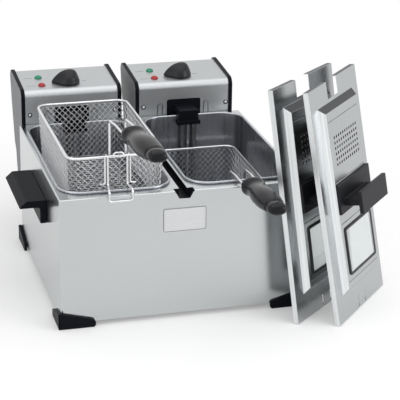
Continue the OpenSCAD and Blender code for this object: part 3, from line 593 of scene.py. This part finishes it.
# %% [markdown]
# ## Floor of the weave
# The floor's grid is square, and the basket's corners are round. A crossing
# that falls outside the corner's arc is drawn in onto the arc, so the wires
# there end on the bottom edge as the cut wires of a real basket do.

# %% Weave tree, floor
floor_rows = calc("ADD", into["Along"], 1.0)
base = put(weave, "GeometryNodeMeshGrid", {"Size X": into["Width"], "Size Y": into["Length"],
                                           "Vertices X": calc("ADD", into["Across"], 1.0),
                                           "Vertices Y": floor_rows}).outputs[0]
column, row = crossing(floor_rows)
sign = by_turns(calc("ADD", column, row))
spot = put(weave, "ShaderNodeSeparateXYZ", {0: put(weave, "GeometryNodeInputPosition").outputs[0]}).outputs


def beyond(value, size):
    """How far a coordinate lies past the corner's centre, never below zero."""
    centre = calc("SUBTRACT", calc("MULTIPLY", size, 0.5), into["Corner"])
    return calc("MAXIMUM", calc("SUBTRACT", calc("ABSOLUTE", value), centre), 0.0)


past_x, past_y = beyond(spot[0], into["Width"]), beyond(spot[1], into["Length"])
away = calc("SQRT", calc("ADD", calc("MULTIPLY", past_x, past_x), calc("MULTIPLY", past_y, past_y)))
excess = calc("MAXIMUM", calc("SUBTRACT", away, into["Corner"]), 0.0)
share = calc("DIVIDE", excess, calc("MAXIMUM", away, 0.0001))


def drawn_in(value, past):
    """The coordinate less its share of the excess, on its own side."""
    return calc("SUBTRACT", value, calc("MULTIPLY", calc("MULTIPLY", past, share), calc("SIGN", value)))


level_x, level_y = drawn_in(spot[0], past_x), drawn_in(spot[1], past_y)
for lengthwise, flip in ((True, 1.0), (False, -1.0)):
    swing = calc("MULTIPLY", calc("MULTIPLY", sign, into["Wave"]), flip)
    height = calc("SUBTRACT", swing, into["Depth"])
    crossing_at = put(weave, "ShaderNodeCombineXYZ", {0: level_x, 1: level_y, 2: height})
    wires_of(base, crossing_at.outputs[0], lengthwise)
close_tree(weave, woven.outputs[0], into["Finish"])
print("weave tree nodes:", len(weave.nodes))

# %% [markdown]
# ## Both baskets woven
# The tree starts from the rim's outline and is run once for each basket, with
# all its measures worked out from the basket's. The weave ends just above the
# solid's own floor, so that it stays inside the place of the part it replaces.

# %% Weave both baskets
WIRE, WAVE = 0.5, 0.7          # wire's radius, and how far it swings in and out
FLOOR_GAP, RIM_GAP = 2.3, 1.0  # room kept above the solid's floor and below the rim
for side, b in BASKET.items():
    rim = [(x * MM, y * MM, 0) for x, y in round_rect(BASKET_W, BASKET_L, CORNER)]
    depth = BASKET_DEPTH - FLOOR_GAP - WIRE - WAVE
    floor_w, floor_l = BASKET_W - 2 * BASKET_TAPER, BASKET_L - 2 * BASKET_TAPER
    woven_wire = bake(weave, f"basket_weave_{side}", chain_of("rim_path", [rim + rim[:1]]),
                      Around=84, Down=18, Depth=depth * MM, Shrink=floor_w / BASKET_W, Wire=WIRE * MM,
                      Wave=WAVE * MM, Width=floor_w * MM, Length=floor_l * MM, Across=15, Along=28,
                      Corner=(CORNER - BASKET_TAPER / 2) * MM, Finish=weave_steel)
    centre = at(b["cx"], b["y0"] + BASKET_L / 2, b["z"] - RIM_GAP)
    woven_wire.data.transform(Matrix.Translation(centre))
    outward(woven_wire)
    settle(woven_wire, f"basket_{side}", "chrome_wire", f"basket_mesh_{side}")

# %% [markdown]
# ## Handles, hooks and rims of the baskets
# The handle is two wires that turn in lugs below the rim, rise, and step
# forward twice before they run into the grip. The hook is one wire: down the
# front of the weave, forward, and round in a U that grips the casing's edge.
# A second wire beside each strap ends in a short foot that keeps the basket
# off the pan. All of them come from the bent-wire tree.

# %% Basket wires
WIRE_R, RIM_R, STRAP_R, STOP_R = 2.0, 2.2, 1.6, 1.3
HANDLE_MID, HANDLE_HALF = 2.5, 12.75  # the handle's middle from the basket's, and half its width
LUG_OUT, LUG_BACK, LUG_DROP = 9.0, 7.5, 6.0
HANDLE_BACK, HANDLE_RISE, HANDLE_LIFT = 5.5, 57.0, 3.4
STEP_LONG, MOUTH_LONG, BURIED = 36, 46, 45  # runs to the step, to the grip, and inside the grip
GRIP_TILT = math.radians(4)
HOOK_HALF, HOOK_WIDE, HOOK_OUT = 15.5, 18.5, 29.4
HOOK_TOP, HOOK_DROP, HOOK_DIP, HOOK_END = 1.5, 46, 50, 64  # above the rim, and below it
STRAP_HALF, STRAP_DROP, FOOT_OUT = 20.3, 43, 29
STOP_HALF, STOP_RISE = 8, 6
WIRE_GAP = 0.05


def strap_y(b):
    """Depth of the wires that hang on the outside of the front rim."""
    return b["y0"] - RIM_R - WIRE_R - WIRE_GAP


def handle_run(b, s):
    """Corner points of one handle wire; s is -1 for left and 1 for right."""
    yaw = math.radians(b["yaw"])
    x, y, z = b["cx"] + HANDLE_MID + s * HANDLE_HALF, b["y0"], b["z"]
    level_run = Vector((math.sin(yaw), -math.cos(yaw), 0))
    into_grip = Vector((math.sin(yaw) * math.cos(GRIP_TILT), -math.cos(yaw) * math.cos(GRIP_TILT),
                        math.sin(GRIP_TILT)))
    lug = Vector((x, y + LUG_BACK, z - LUG_DROP))
    top = Vector((x, y + HANDLE_BACK, z + HANDLE_RISE))
    step = top + STEP_LONG * level_run + Vector((0, 0, HANDLE_LIFT))
    mouth = step + MOUTH_LONG * level_run
    return [lug + Vector((s * LUG_OUT, 0, 0)), lug, top, step, mouth, mouth + BURIED * into_grip]


def hook_run(b):
    """The hook's wire from one strap's top, round the U, to the other's."""
    cx, z, y1, y2 = b["cx"], b["z"], strap_y(b), b["y0"] - HOOK_OUT
    half = [(HOOK_HALF, y1, z + HOOK_TOP), (HOOK_HALF, y1, z - HOOK_DROP), (HOOK_WIDE, y2 + 3, z - HOOK_DROP),
            (HOOK_WIDE, y2, z - HOOK_DIP), (HOOK_WIDE, y2, z - HOOK_END)]
    return [(cx - a, y, h) for a, y, h in half] + [(cx + a, y, h) for a, y, h in reversed(half)]


def strap_run(b, s):
    """A small wire down beside one strap, and out to its foot."""
    cx, z, y1 = b["cx"], b["z"], strap_y(b)
    return [(cx + s * STRAP_HALF, y1, z + HOOK_TOP), (cx + s * STRAP_HALF, y1, z - STRAP_DROP),
            (cx + s * FOOT_OUT, y1 - 1, z - STRAP_DROP)]


for side, b in BASKET.items():
    cx, y0, z = b["cx"], b["y0"], b["z"]
    wires = bent_wire(f"basket_handle_wires_{side}", [handle_run(b, s) for s in (-1, 1)], WIRE_R, bend=6)
    settle(wires, f"basket_handle_{side}", "chrome_wire", f"basket_handle_{side}")
    hook = bent_wire(f"basket_hook_wires_{side}", [hook_run(b)], WIRE_R, bend=4)
    settle(hook, f"basket_{side}", "chrome_wire", f"basket_hook_{side}")
    ring = [(cx + x, y0 + BASKET_L / 2 + y, z) for x, y in round_rect(BASKET_W, BASKET_L, CORNER, 10)]
    middle = cx + HANDLE_MID
    arch = [(middle - STOP_HALF, y0, z), (middle - STOP_HALF, y0, z + STOP_RISE),
            (middle + STOP_HALF, y0, z + STOP_RISE), (middle + STOP_HALF, y0, z)]
    for kind, runs, radius, bend, sides in (
            ("strap_wires", [strap_run(b, s) for s in (-1, 1)], STRAP_R, 3, 12),
            ("rim_wire", [ring + ring[:1]], RIM_R, 0.01, 16), ("stop_wire", [arch], STOP_R, 4, 12)):
        wire = bent_wire(f"basket_{kind}_{side}", runs, radius, bend, sides)
        settle(wire, f"basket_{side}", "chrome_wire")

# %% [markdown]
# ## Moulded grips
# The grip is one form with a wide shoulder where the wires enter, a swollen
# middle and a blunt end. Its cross-sections are ovals that change slowly, so
# it is lofted: rings of points at chosen distances, joined by faces.
# Sculpting would give the same form, but not twice alike.

# %% Loft helper and grips
def loft(name, rings, finish, closed_ends=True):
    """Skins rings of equal length; the first and last are closed by a face."""
    n = len(rings[0])
    verts = [p for ring in rings for p in ring]
    faces = [(i * n + j, i * n + (j + 1) % n, (i + 1) * n + (j + 1) % n, (i + 1) * n + j)
             for i in range(len(rings) - 1) for j in range(n)]
    if closed_ends:
        faces += [tuple(range(n)), tuple(range((len(rings) - 1) * n, len(rings) * n))]
    made = outward(link_mesh(name, verts, faces))
    made.data.materials.append(finish)
    made.data.polygons.foreach_set("use_smooth", [True] * len(made.data.polygons))
    return made


def oval(w, h, power, count=40):
    """Points of a squared oval, w wide and h high."""
    ring = []
    for i in range(count):
        a = 2 * math.pi * i / count
        c, s = math.cos(a), math.sin(a)
        ring.append((w / 2 * math.copysign(abs(c) ** (2 / power), c),
                     h / 2 * math.copysign(abs(s) ** (2 / power), s)))
    return ring


GRIP_RINGS = [  # distance along, width, height, drop, squareness
    (0.0, 30, 18, 0, 2.6), (0.6, 33.5, 23, 0, 2.5), (2.5, 37, 28, 0, 2.4), (6, 38.8, 30.5, 0, 2.3),
    (10, 38.5, 30, 0, 2.3), (14, 36.2, 27, 0, 2.3), (20, 32, 23.5, 0, 2.3), (28, 31, 23.5, 0.2, 2.3),
    (40, 34, 26.5, 0.4, 2.3), (56, 38, 30, 0.3, 2.3), (74, 38.8, 30.8, 0, 2.3), (88, 37.8, 29.4, 0, 2.3),
    (102, 35, 26, 0, 2.3), (113, 32.2, 23.4, 0, 2.3), (118, 30.8, 21.8, 0, 2.3), (119.4, 28.6, 19.6, 0, 2.3),
    (120.6, 28.6, 19.6, 0, 2.3), (122, 30, 21, 0, 2.3), (129, 28.6, 19.4, 0, 2.4), (135, 26.2, 16.6, 0, 2.5),
    (138.4, 22.6, 12.8, 0, 2.5), (139.9, 17, 7.5, 0, 2.4),
]
for side, b in BASKET.items():
    left_run, right_run = handle_run(b, -1), handle_run(b, 1)
    start = (left_run[4] + right_run[4]) / 2  # between the two mouths
    yaw = math.radians(b["yaw"])
    ahead_of = (right_run[5] - right_run[4]).normalized()
    across = Vector((math.cos(yaw), math.sin(yaw), 0))
    over = across.cross(-ahead_of)
    rings = [[at(*(start + t * ahead_of + x * across + (y - drop) * over)) for x, y in oval(w, h, power)]
             for t, w, h, drop, power in GRIP_RINGS]
    grip = loft(f"basket_grip_moulding_{side}", rings, grip_black)
    settle(grip, f"basket_handle_{side}", "black_plastic", f"basket_grip_{side}")

# %% [markdown]
# ## Pointer knobs
# Seen from above the knob is a drop: a round part with a tip that points to
# the setting. Its sides draw in towards a long ridge that the fingers hold.
# Again rings of one outline are lofted. Higher rings are narrower, more so
# across the pointer than along it, and move towards the round end, and that
# alone raises the ridge with its steep back.

# %% Pointer knobs
KNOB_X, KNOB_Y, PANEL_TILT = 87.5, 420.0, math.radians(4.2)
UNIT_X = {"left": 5.0, "right": 209.0}
UNIT_FRONT, BEND_R, BEND_Z = 385.0, 12.0, 264.0


def panel_at(y):
    """Height of the control panel's face at a depth."""
    y0 = UNIT_FRONT + BEND_R - BEND_R * math.sin(PANEL_TILT)
    return BEND_Z + BEND_R * math.cos(PANEL_TILT) + (y - y0) * math.tan(PANEL_TILT)


def on_panel(x, y, u, v, h):
    """A point u, v across the panel and h above it, from a panel point."""
    return at(x + u, y + v * math.cos(PANEL_TILT) - h * math.sin(PANEL_TILT),
              panel_at(y) + v * math.sin(PANEL_TILT) + h * math.cos(PANEL_TILT))


def drop_outline(big=20.5, shift=2.5, small=2.5, tip=-27.0, round_steps=40, tip_points=9):
    """A circle and a small tip circle joined by tangents."""
    centre = tip + small
    lean = math.degrees(math.acos((big - small) / (shift - centre)))
    ring = []
    for i in range(round_steps + 1):
        a = math.radians(-(180 - lean) + 2 * (180 - lean) * i / round_steps)
        ring.append((shift + big * math.cos(a), big * math.sin(a)))
    for i in range(tip_points):
        a = math.radians(180 - lean + 2 * lean * (i + 0.5) / tip_points)
        ring.append((centre + small * math.cos(a), small * math.sin(a)))
    return ring


KNOB_RINGS = [  # height, scale along the pointer, scale across it, shift to the round end
    (0.8, 0.97, 0.97, 0), (1.2, 1, 1, 0), (4.2, 1, 1, 0), (5, 0.97, 0.97, 0), (8, 0.92, 0.94, 0.5),
    (11, 0.85, 0.88, 1.0), (15, 0.74, 0.75, 2.0), (18.5, 0.62, 0.57, 3.0), (21, 0.5, 0.4, 3.8),
    (22.8, 0.36, 0.26, 4.4), (23.7, 0.2, 0.15, 4.6),
]
outline = drop_outline()
for side in SIDES:
    x = UNIT_X[side] + KNOB_X
    rings = [[on_panel(x, KNOB_Y, u * along + shift, v * wide, h) for u, v in outline]
             for h, along, wide, shift in KNOB_RINGS]
    knob = loft(f"pointer_knob_{side}", rings, knob_black)
    settle(knob, f"knob_{side}", "black_plastic", f"knob_{side}")

# %% [markdown]
# ## Deep-drawn pans
# A pan is drawn from one flat blank, so its corners are round in every
# direction and its edge is rolled over outwards. One section is followed all
# round: inner floor, inner wall, rolled edge, outer wall, outer floor. Each
# section point makes a ring, set in or out from the rim's centre line.

# %% Deep-drawn pans
TANK_W, TANK_L, TANK_R, TANK_Y = 179.5, 344.5, 38.0, 191.75
TANK_CX = {"left": 97.25, "right": 302.75}
RIM_Z, FLOOR_Z, FILLET, GAUGE = 219.3, 49.0, 14.0, 1.0
ROLL_R, INSIDE = 2.0, -2.0  # the rolled edge's radius, and the inner wall from its centre line
OUTSIDE = INSIDE + GAUGE
WALL_RINGS = [120.0, 200.0]


def arc_points(cx, cy, r, start, end, steps):
    """Points of an arc in the section plane."""
    return [(cx + r * math.cos(math.radians(start + (end - start) * i / steps)),
             cy + r * math.sin(math.radians(start + (end - start) * i / steps))) for i in range(steps + 1)]


bend_at = (INSIDE - FILLET, FLOOR_Z + GAUGE + FILLET)
section_line = (arc_points(*bend_at, FILLET, -90, 0, 7)
                + [(INSIDE, h) for h in WALL_RINGS]
                + arc_points(0, RIM_Z, ROLL_R, 180, -60, 12)
                + [(-0.98, 216.4)]  # where the roll meets the outer wall
                + [(OUTSIDE, h) for h in reversed(WALL_RINGS)]
                + arc_points(*bend_at, FILLET + GAUGE, 0, -90, 7))
for side in SIDES:
    rings = [[at(TANK_CX[side] + x, TANK_Y + y, h)
              for x, y in round_rect(TANK_W + 2 * d, TANK_L + 2 * d, TANK_R + d, 10)]
             for d, h in section_line]
    pan = loft(f"deep_drawn_pan_{side}", rings, pan_steel)
    settle(pan, f"tank_{side}", "polished_steel", f"tank_{side}")

# %% [markdown]
# ## Softened edges
# No real edge is perfectly sharp: bent sheet has a bend radius and a moulding
# has a run-out radius, and the thin bright line along it is what makes metal
# look like metal. Each of these pieces starts as a merged copy of its solid,
# its flat faces are joined again, and every edge sharper than 35 degrees gets
# a small round. The bend of the casing's outer edges is larger. Last, normals
# are weighted by area, or the rounds would bend the light on the flat faces.

# %% Softened copies
BEND_SIZE = 2.2     # millimetres, for the casing's outer bends
MERGE_SOLID = 2e-6  # metres between corners of loose triangles
FLAT_WITHIN, ROUND_FROM, SHADE_SHARP_FROM = [math.radians(v) for v in (0.5, 35, 30)]


def softened(name, source, size, slot, body, bends=None, finishes=(), choose=None):
    """A copy of a solid with rounded edges, which takes the solid's place.
    bends picks the edges that get the larger bend first, and choose gives the
    number of the finish for a face's centre, in drawing measure, and normal."""
    mesh = nodes[source].data.copy()
    mesh.name = name
    if finishes:
        mesh.materials.clear()
        for finish in finishes:
            mesh.materials.append(finish)
    work = bmesh.new()
    work.from_mesh(mesh)
    bmesh.ops.remove_doubles(work, verts=work.verts, dist=MERGE_SOLID)
    bmesh.ops.dissolve_limit(work, angle_limit=FLAT_WITHIN, verts=work.verts, edges=work.edges)

    def round_off(width, segments, wanted=None):
        picked = [e for e in work.edges if e.is_manifold and e.calc_face_angle() > ROUND_FROM
                  and (wanted is None or wanted(*[v.co / MM + ORIGIN for v in e.verts]))]
        bmesh.ops.bevel(work, geom=picked, offset=width * MM, segments=segments, profile=0.5,
                        affect="EDGES", clamp_overlap=False)

    if bends:
        round_off(BEND_SIZE, 4, bends)
    if choose:
        for face in work.faces:
            face.material_index = choose(face.calc_center_median() / MM + ORIGIN, face.normal)
    round_off(size, 2)
    work.to_mesh(mesh)
    work.free()
    made = bpy.data.objects.new(name, mesh)
    scene.collection.objects.link(made)
    mesh.polygons.foreach_set("use_smooth", [True] * len(mesh.polygons))
    mesh.set_sharp_from_angle(angle=SHADE_SHARP_FROM)
    flat = made.modifiers.new("Flat faces stay flat", "WEIGHTED_NORMAL")
    flat.weight = 100
    flat.keep_sharp = True
    return settle(made, body, slot, source)


CASING_W, CASING_L, WALL_BAND, NEAR_DECK = 400, 382, 4.1, 216.9
CHANNEL_HALF, CHANNEL_FRONT = 16.2, 200  # the channel cuts the front bend, which stays sharp there


def casing_bend(a, b):
    """The edges between the deck and the four walls."""
    from_wall = [min(abs(p.x), abs(p.x - CASING_W), abs(p.y), abs(p.y - CASING_L)) for p in (a, b)]
    off_middle = max(abs(p.x - CASING_W / 2) for p in (a, b))
    by_channel = off_middle <= CHANNEL_HALF and max(a.y, b.y) <= CHANNEL_FRONT
    return min(a.z, b.z) > NEAR_DECK and max(from_wall) < WALL_BAND and not by_channel


softened("casing_shell", "casing", 0.25, "brushed_steel", "casing", casing_bend)

# %% [markdown]
# ## Mouldings and covers
# The control heads' cheeks are black mouldings with grey flat sides, so their
# faces are told apart by the way they look: sideways or not. The other black
# mouldings only need their edges rounded, by as much as a mould would.

# %% Mouldings and covers
for side in SIDES:
    unit = f"unit_{side}"
    softened(f"unit_cover_bent_{side}", f"unit_cover_{side}", 0.2, "brushed_steel", unit)
    for which in "ab":
        softened(f"cheek_moulding_{which}_{side}", f"cheek_{which}_{side}", 0.9, "grey_plastic", unit,
                 finishes=(black, cheek_grey), choose=lambda centre, normal: int(abs(normal.x) > 0.9))
    softened(f"bracket_moulding_{side}", f"element_bracket_{side}", 0.7, "black_plastic", unit)
    softened(f"side_handle_moulding_{side}", f"side_handle_{side}", 1.2, "black_plastic", "casing")
softened("foot_mouldings", "feet", 1.0, "black_plastic", "casing")
softened("channel_moulding", "centre_channel", 0.3, "black_plastic", "casing")

# %% [markdown]
# ## Printed marks
# Each lamp has a fine printed line at its left, and the knob has one at its
# right that shows where the pointer rests at the far end. They are all the
# same thin strip, so one tree puts a flat box on every point it is given and
# stretches it by the length that the point carries as an attribute.

# %% Printed marks
ink = grain(plain("printed_ink", (0.12, 0.125, 0.13), 0.6), 900, tone=0.1, rough=0.05, bump=0.02)
MARKS = [(22.5, 412.0, 15.0), (22.5, 450.0, 15.0), (119.0, 423.0, 9.0)]  # middle, depth, length
INK_LIFT = 0.06
marks_tree, into = open_tree("printed_marks", Thick=0.0008, Height=0.0001, Finish=ink)
long_by = put(marks_tree, "GeometryNodeInputNamedAttribute", {"Name": "long_by"}, data_type="FLOAT")
strip_size = put(marks_tree, "ShaderNodeCombineXYZ", {0: 1.0, 1: into["Thick"], 2: into["Height"]})
strip = put(marks_tree, "GeometryNodeMeshCube", {"Size": strip_size.outputs[0]})
stretch = put(marks_tree, "ShaderNodeCombineXYZ", {0: long_by.outputs["Attribute"], 1: 1.0, 2: 1.0})
copies = put(marks_tree, "GeometryNodeInstanceOnPoints",
             {"Points": into["Geometry"], "Instance": strip.outputs[0], "Rotation": (PANEL_TILT, 0, 0),
              "Scale": stretch.outputs[0]})
close_tree(marks_tree, copies.outputs[0], into["Finish"])
for side in SIDES:
    start = link_mesh("mark_points", [on_panel(UNIT_X[side] + x, y, 0, 0, INK_LIFT) for x, y, _ in MARKS], [])
    lengths = start.data.attributes.new("long_by", "FLOAT", "POINT")
    lengths.data.foreach_set("value", [length * MM for _, _, length in MARKS])
    marks = bake(marks_tree, f"printed_marks_{side}", start, Finish=ink)
    settle(outward(marks), f"unit_{side}", "black_plastic")

# %% [markdown]
# ## Face screws
# Two screws hold each head's front: a bright domed head with a cross slot,
# sitting in a dished cup of near-black steel that is painted shadow round the
# head. Head and cup are both a flattened ball with a cross cut into it, only
# wider or flatter, so one tree makes the two. The CAD screws say where they
# stand and how far they come forward.

# %% Face screws
SLOT_LONG, SLOT_WIDE = 1.1, 0.26  # the cross slot's two sides, as shares of the ball's radius
dome_tree, into = open_tree("slotted_dome", Radius=0.003, Height=0.002, Finish=chrome)
flatness = sums(dome_tree, "DIVIDE", into["Height"], into["Radius"])
flatten = put(dome_tree, "ShaderNodeCombineXYZ", {0: 1.0, 1: 1.0, 2: flatness})
ball = put(dome_tree, "GeometryNodeMeshUVSphere", {"Segments": 24, "Rings": 12, "Radius": into["Radius"]})
dome = put(dome_tree, "GeometryNodeTransform", {"Geometry": ball.outputs[0], "Scale": flatten.outputs[0]})
slot_long = sums(dome_tree, "MULTIPLY", into["Radius"], SLOT_LONG)
slot_wide = sums(dome_tree, "MULTIPLY", into["Radius"], SLOT_WIDE)
cross = put(dome_tree, "GeometryNodeJoinGeometry")
for across, along in ((slot_long, slot_wide), (slot_wide, slot_long)):
    size = put(dome_tree, "ShaderNodeCombineXYZ", {0: across, 1: along, 2: into["Height"]})
    blade = put(dome_tree, "GeometryNodeMeshCube", {"Size": size.outputs[0]})
    dome_tree.links.new(blade.outputs[0], cross.inputs[0])
lift = put(dome_tree, "ShaderNodeCombineXYZ", {2: into["Height"]})
raised = put(dome_tree, "GeometryNodeTransform",
             {"Geometry": cross.outputs[0], "Translation": lift.outputs[0]})
slotted = put(dome_tree, "GeometryNodeMeshBoolean",
              {"Mesh 1": dome.outputs[0], "Mesh 2": raised.outputs[0]}, operation="DIFFERENCE")
screws = put(dome_tree, "GeometryNodeInstanceOnPoints",
             {"Points": into["Geometry"], "Instance": slotted.outputs[0],
              "Rotation": (math.radians(90), 0, 0)})
close_tree(dome_tree, screws.outputs[0], into["Finish"])
HEAD_R, HEAD_OUT = 3.6, 2.0  # the solid screws' radius, and how far they come forward
SLOT_SHARP_FROM = math.radians(40)
# the cups are painted shadow round each screw head
SCREW_PARTS = (("shadow_cups", 4.3, 0.9, painted_shadow_steel), ("heads", 2.7, 1.9, weave_steel))  # radius, height
for side in SIDES:
    low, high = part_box(f"unit_screws_{side}")
    spots = [Vector((x, low[1] + HEAD_OUT * MM, (low[2] + high[2]) / 2))
             for x in (low[0] + HEAD_R * MM, high[0] - HEAD_R * MM)]
    for kind, radius, height, finish in SCREW_PARTS:
        made = bake(dome_tree, f"face_screw_{kind}_{side}", link_mesh("screw_points", spots, []),
                    Radius=radius * MM, Height=height * MM, Finish=finish)
        made.data.set_sharp_from_angle(angle=SLOT_SHARP_FROM)
        settle(made, f"unit_{side}", "chrome_wire", *([f"unit_screws_{side}"] if kind == "heads" else []))

# %% [markdown]
# ## Pressed lids
# A lid is pressed from one sheet. Its cut upper edge and the steep upper side
# of the raised field get painted shade: a dark steel. The pressed lines and
# the walls of the vent holes get painted shade too, nearly black. The sides
# that face left get a painted highlight: a much lighter steel with a coarse
# grain. All of that is told apart on the lid's own axes: a across, b along
# and h off the sheet.

# %% Pressed lids
SKIRT, DOME = 9.0, 10.5              # heights of the skirt and of the raised field
LINE_LOW, LINE_HIGH = DOME - 0.45, DOME - 0.02  # a pressed line's floor lies between them
WINDOW = (43.0, 72.0, 148.0, 149.0)  # low a and b, high a and b
VENTS = (40, 245, 150, 307)          # the field of vent holes, in the same order
LINES = (33, 155, 327)               # low and high a, and high b, of the pressed lines
# painted highlight: a much lighter steel for the lid sides that face left
lit_side_steel = lid_brushed("painted_highlight_steel_side", (0.74, 0.76, 0.77), 0.42, (500, 5, 500),
                         tone=0.12, rough=0.06, bump=0.03)
# painted shade: dark steel on the lid faces that turn up the sheet
painted_shade_steel = metal("painted_shade_steel", (0.085, 0.087, 0.092), 0.4, 300, tone=0.1, rough=0.06, bump=0.03)
# painted shade in recesses: the pressed lines, the vent holes and the badge's groove
recess_shade = grain(plain("painted_recess_shade", (0.02, 0.02, 0.021), 0.6), 900, tone=0.1, bump=0.02)


def lid_axes(k):
    """A lid's corner and its three axes, in the drawing."""
    x, y, lean, turn = LID_PLACE[k]
    lean, turn = math.radians(lean), math.radians(turn)
    u = Vector((math.cos(turn), math.sin(turn), 0))
    v = Vector((-math.sin(lean) * math.sin(turn), math.sin(lean) * math.cos(turn), math.cos(lean)))
    return Vector((x, y, SKIRT * math.sin(lean))), u, v, u.cross(v)


def lid_point(k, a, b, h):
    """A point of lid k, from its own axes to the shared frame."""
    corner_of, u, v, n = lid_axes(k)
    return at(*(corner_of + a * u + b * v + h * n))


def lid_faces(k):
    """Chooser of a lid face's finish: 0 brushed, 1 painted shade, 2 painted shade in recesses, 3 painted
    highlight.
    """
    corner_of, u, v, n = lid_axes(k)

    def choose(centre, normal):
        a, b, h = [(centre - corner_of).dot(axis) for axis in (u, v, n)]
        in_vents = VENTS[0] < a < VENTS[2] and VENTS[1] < b < VENTS[3]
        # walls of the vent holes: painted shade
        if in_vents and abs(normal.dot(n)) < 0.3 and h > DOME - 2:
            return 2
        # floors of the pressed lines: painted shade
        if LINE_LOW < h < LINE_HIGH and LINES[0] < a < LINES[1] and b < LINES[2]:
            return 2
        # faces turned up the lid: painted shade
        if normal.dot(v) > 0.5:
            return 1
        # faces turned to the left: painted highlight
        return 3 if normal.dot(u) < -0.5 else 0

    return choose


def band(name, place, box, section, finish, corner=3.0):
    """A closed band round a rectangle; the section is offset and height."""
    w, l = box[2] - box[0], box[3] - box[1]
    mid_a, mid_b = (box[0] + box[2]) / 2, (box[1] + box[3]) / 2
    rings = [[place(mid_a + x, mid_b + y, h) for x, y in round_rect(w + 2 * d, l + 2 * d, corner + d, 5)]
             for d, h in section]
    return loft(name, rings + rings[:1], finish, closed_ends=False)


LIP = [(out, DOME + up_by) for out, up_by in (  # from the window's edge, and from the raised field
    (-2.9, -1.7), (-2.9, 1.5), (-2.4, 1.95), (1.1, 1.95),
    (1.6, 1.4), (1.6, 0.06), (-1.0, 0.06), (-1.0, -1.7))]
for k in LID_PLACE:
    body = f"lid_{k}"
    softened(f"lid_pressing_{k}", f"lid_plate_{k}", 0.35, "brushed_steel", body,
             finishes=(lid_steel[k], painted_shade_steel, recess_shade, lit_side_steel[k]), choose=lid_faces(k))
    softened(f"lid_handle_moulding_{k}", f"lid_handle_{k}", 0.9, "black_plastic", body)
    window_seal = band(f"window_seal_{k}", lambda a, b, h, k=k: lid_point(k, a, b, h), WINDOW, LIP, seal, 4.0)
    settle(window_seal, body, "seal_rubber", f"lid_seal_{k}")

# %% [markdown]
# ## Badge
# The plate on the front is bare, with one engraved line round it. The line is
# a fine band of painted shade that stands a hair proud, in place of the groove
# and the shade in it, because a true groove this thin would be lost from any
# distance at which the whole fryer is seen.

# %% Badge
BADGE_W, BADGE_H, BADGE_MID = 70.0, 39.0, 169.5
LINE_SECTION = [(-0.9, 1.06), (-0.9, 1.12), (-0.2, 1.12), (-0.2, 1.06)]  # in from the edge, off the casing
softened("badge_sheet", "badge_plate", 0.2, "badge_steel", "casing")
frame_line = band("badge_line", lambda a, b, h: at(CASING_W / 2 + a, -h, BADGE_MID + b),
                  (-BADGE_W / 2, -BADGE_H / 2, BADGE_W / 2, BADGE_H / 2), LINE_SECTION, recess_shade)
settle(frame_line, "casing", "badge_steel")

# %% [markdown]
# ## The floor's finish
# A white table under soft light comes out a little grey. So the floor is
# plain pale paper that gives off a little light for seen rays only: near the
# object just enough to reach white outside the shadow, and further off all of
# it, so no horizon shows. The distance is measured on the floor itself.

# %% The floor's finish
NEAR_GLOW = 0.22
# painted shade: the off-centre fade keeps the floor greyer on the left and turns it white sooner on the right
GLOW_ASIDE = (0.15, 0.0, 0.0)    # metres: the fade is centred this far to the left
FADE_FROM, FADE_TO = 0.35, 0.85  # metres over which the paper turns to plain white
paper = plain("floor_paper", (0.8, 0.8, 0.8), 0.9, Specular_IOR_Level=0.1)
tree = paper.node_tree
seen = seen_ray(tree)
spot_on = put(tree, "ShaderNodeTexCoord").outputs["Object"]
moved = put(tree, "ShaderNodeVectorMath", {0: spot_on, 1: GLOW_ASIDE}, operation="ADD")
far = put(tree, "ShaderNodeVectorMath", {0: moved.outputs["Vector"]}, operation="LENGTH")
ramp = put(tree, "ShaderNodeMapRange",
           {"Value": far.outputs["Value"], "From Min": FADE_FROM, "From Max": FADE_TO})
glow = put(tree, "ShaderNodeEmission", {"Strength": sums(tree, "MULTIPLY", seen, NEAR_GLOW)})
lit = put(tree, "ShaderNodeAddShader", {0: tree.nodes["Principled BSDF"].outputs[0], 1: glow.outputs[0]})
blank = put(tree, "ShaderNodeEmission")
fade = put(tree, "ShaderNodeMixShader",
           {0: sums(tree, "MULTIPLY", ramp.outputs[0], seen), 1: lit.outputs[0], 2: blank.outputs[0]})
tree.links.new(fade.outputs[0], tree.nodes["Material Output"].inputs["Surface"])
floor.data.materials.append(paper)
print("floor nodes:", len(tree.nodes))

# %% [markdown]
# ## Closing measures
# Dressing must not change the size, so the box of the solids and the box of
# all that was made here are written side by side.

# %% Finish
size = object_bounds()
{"cad": [list(v) for v in cad_box], "scene": [list(v) for v in size]}
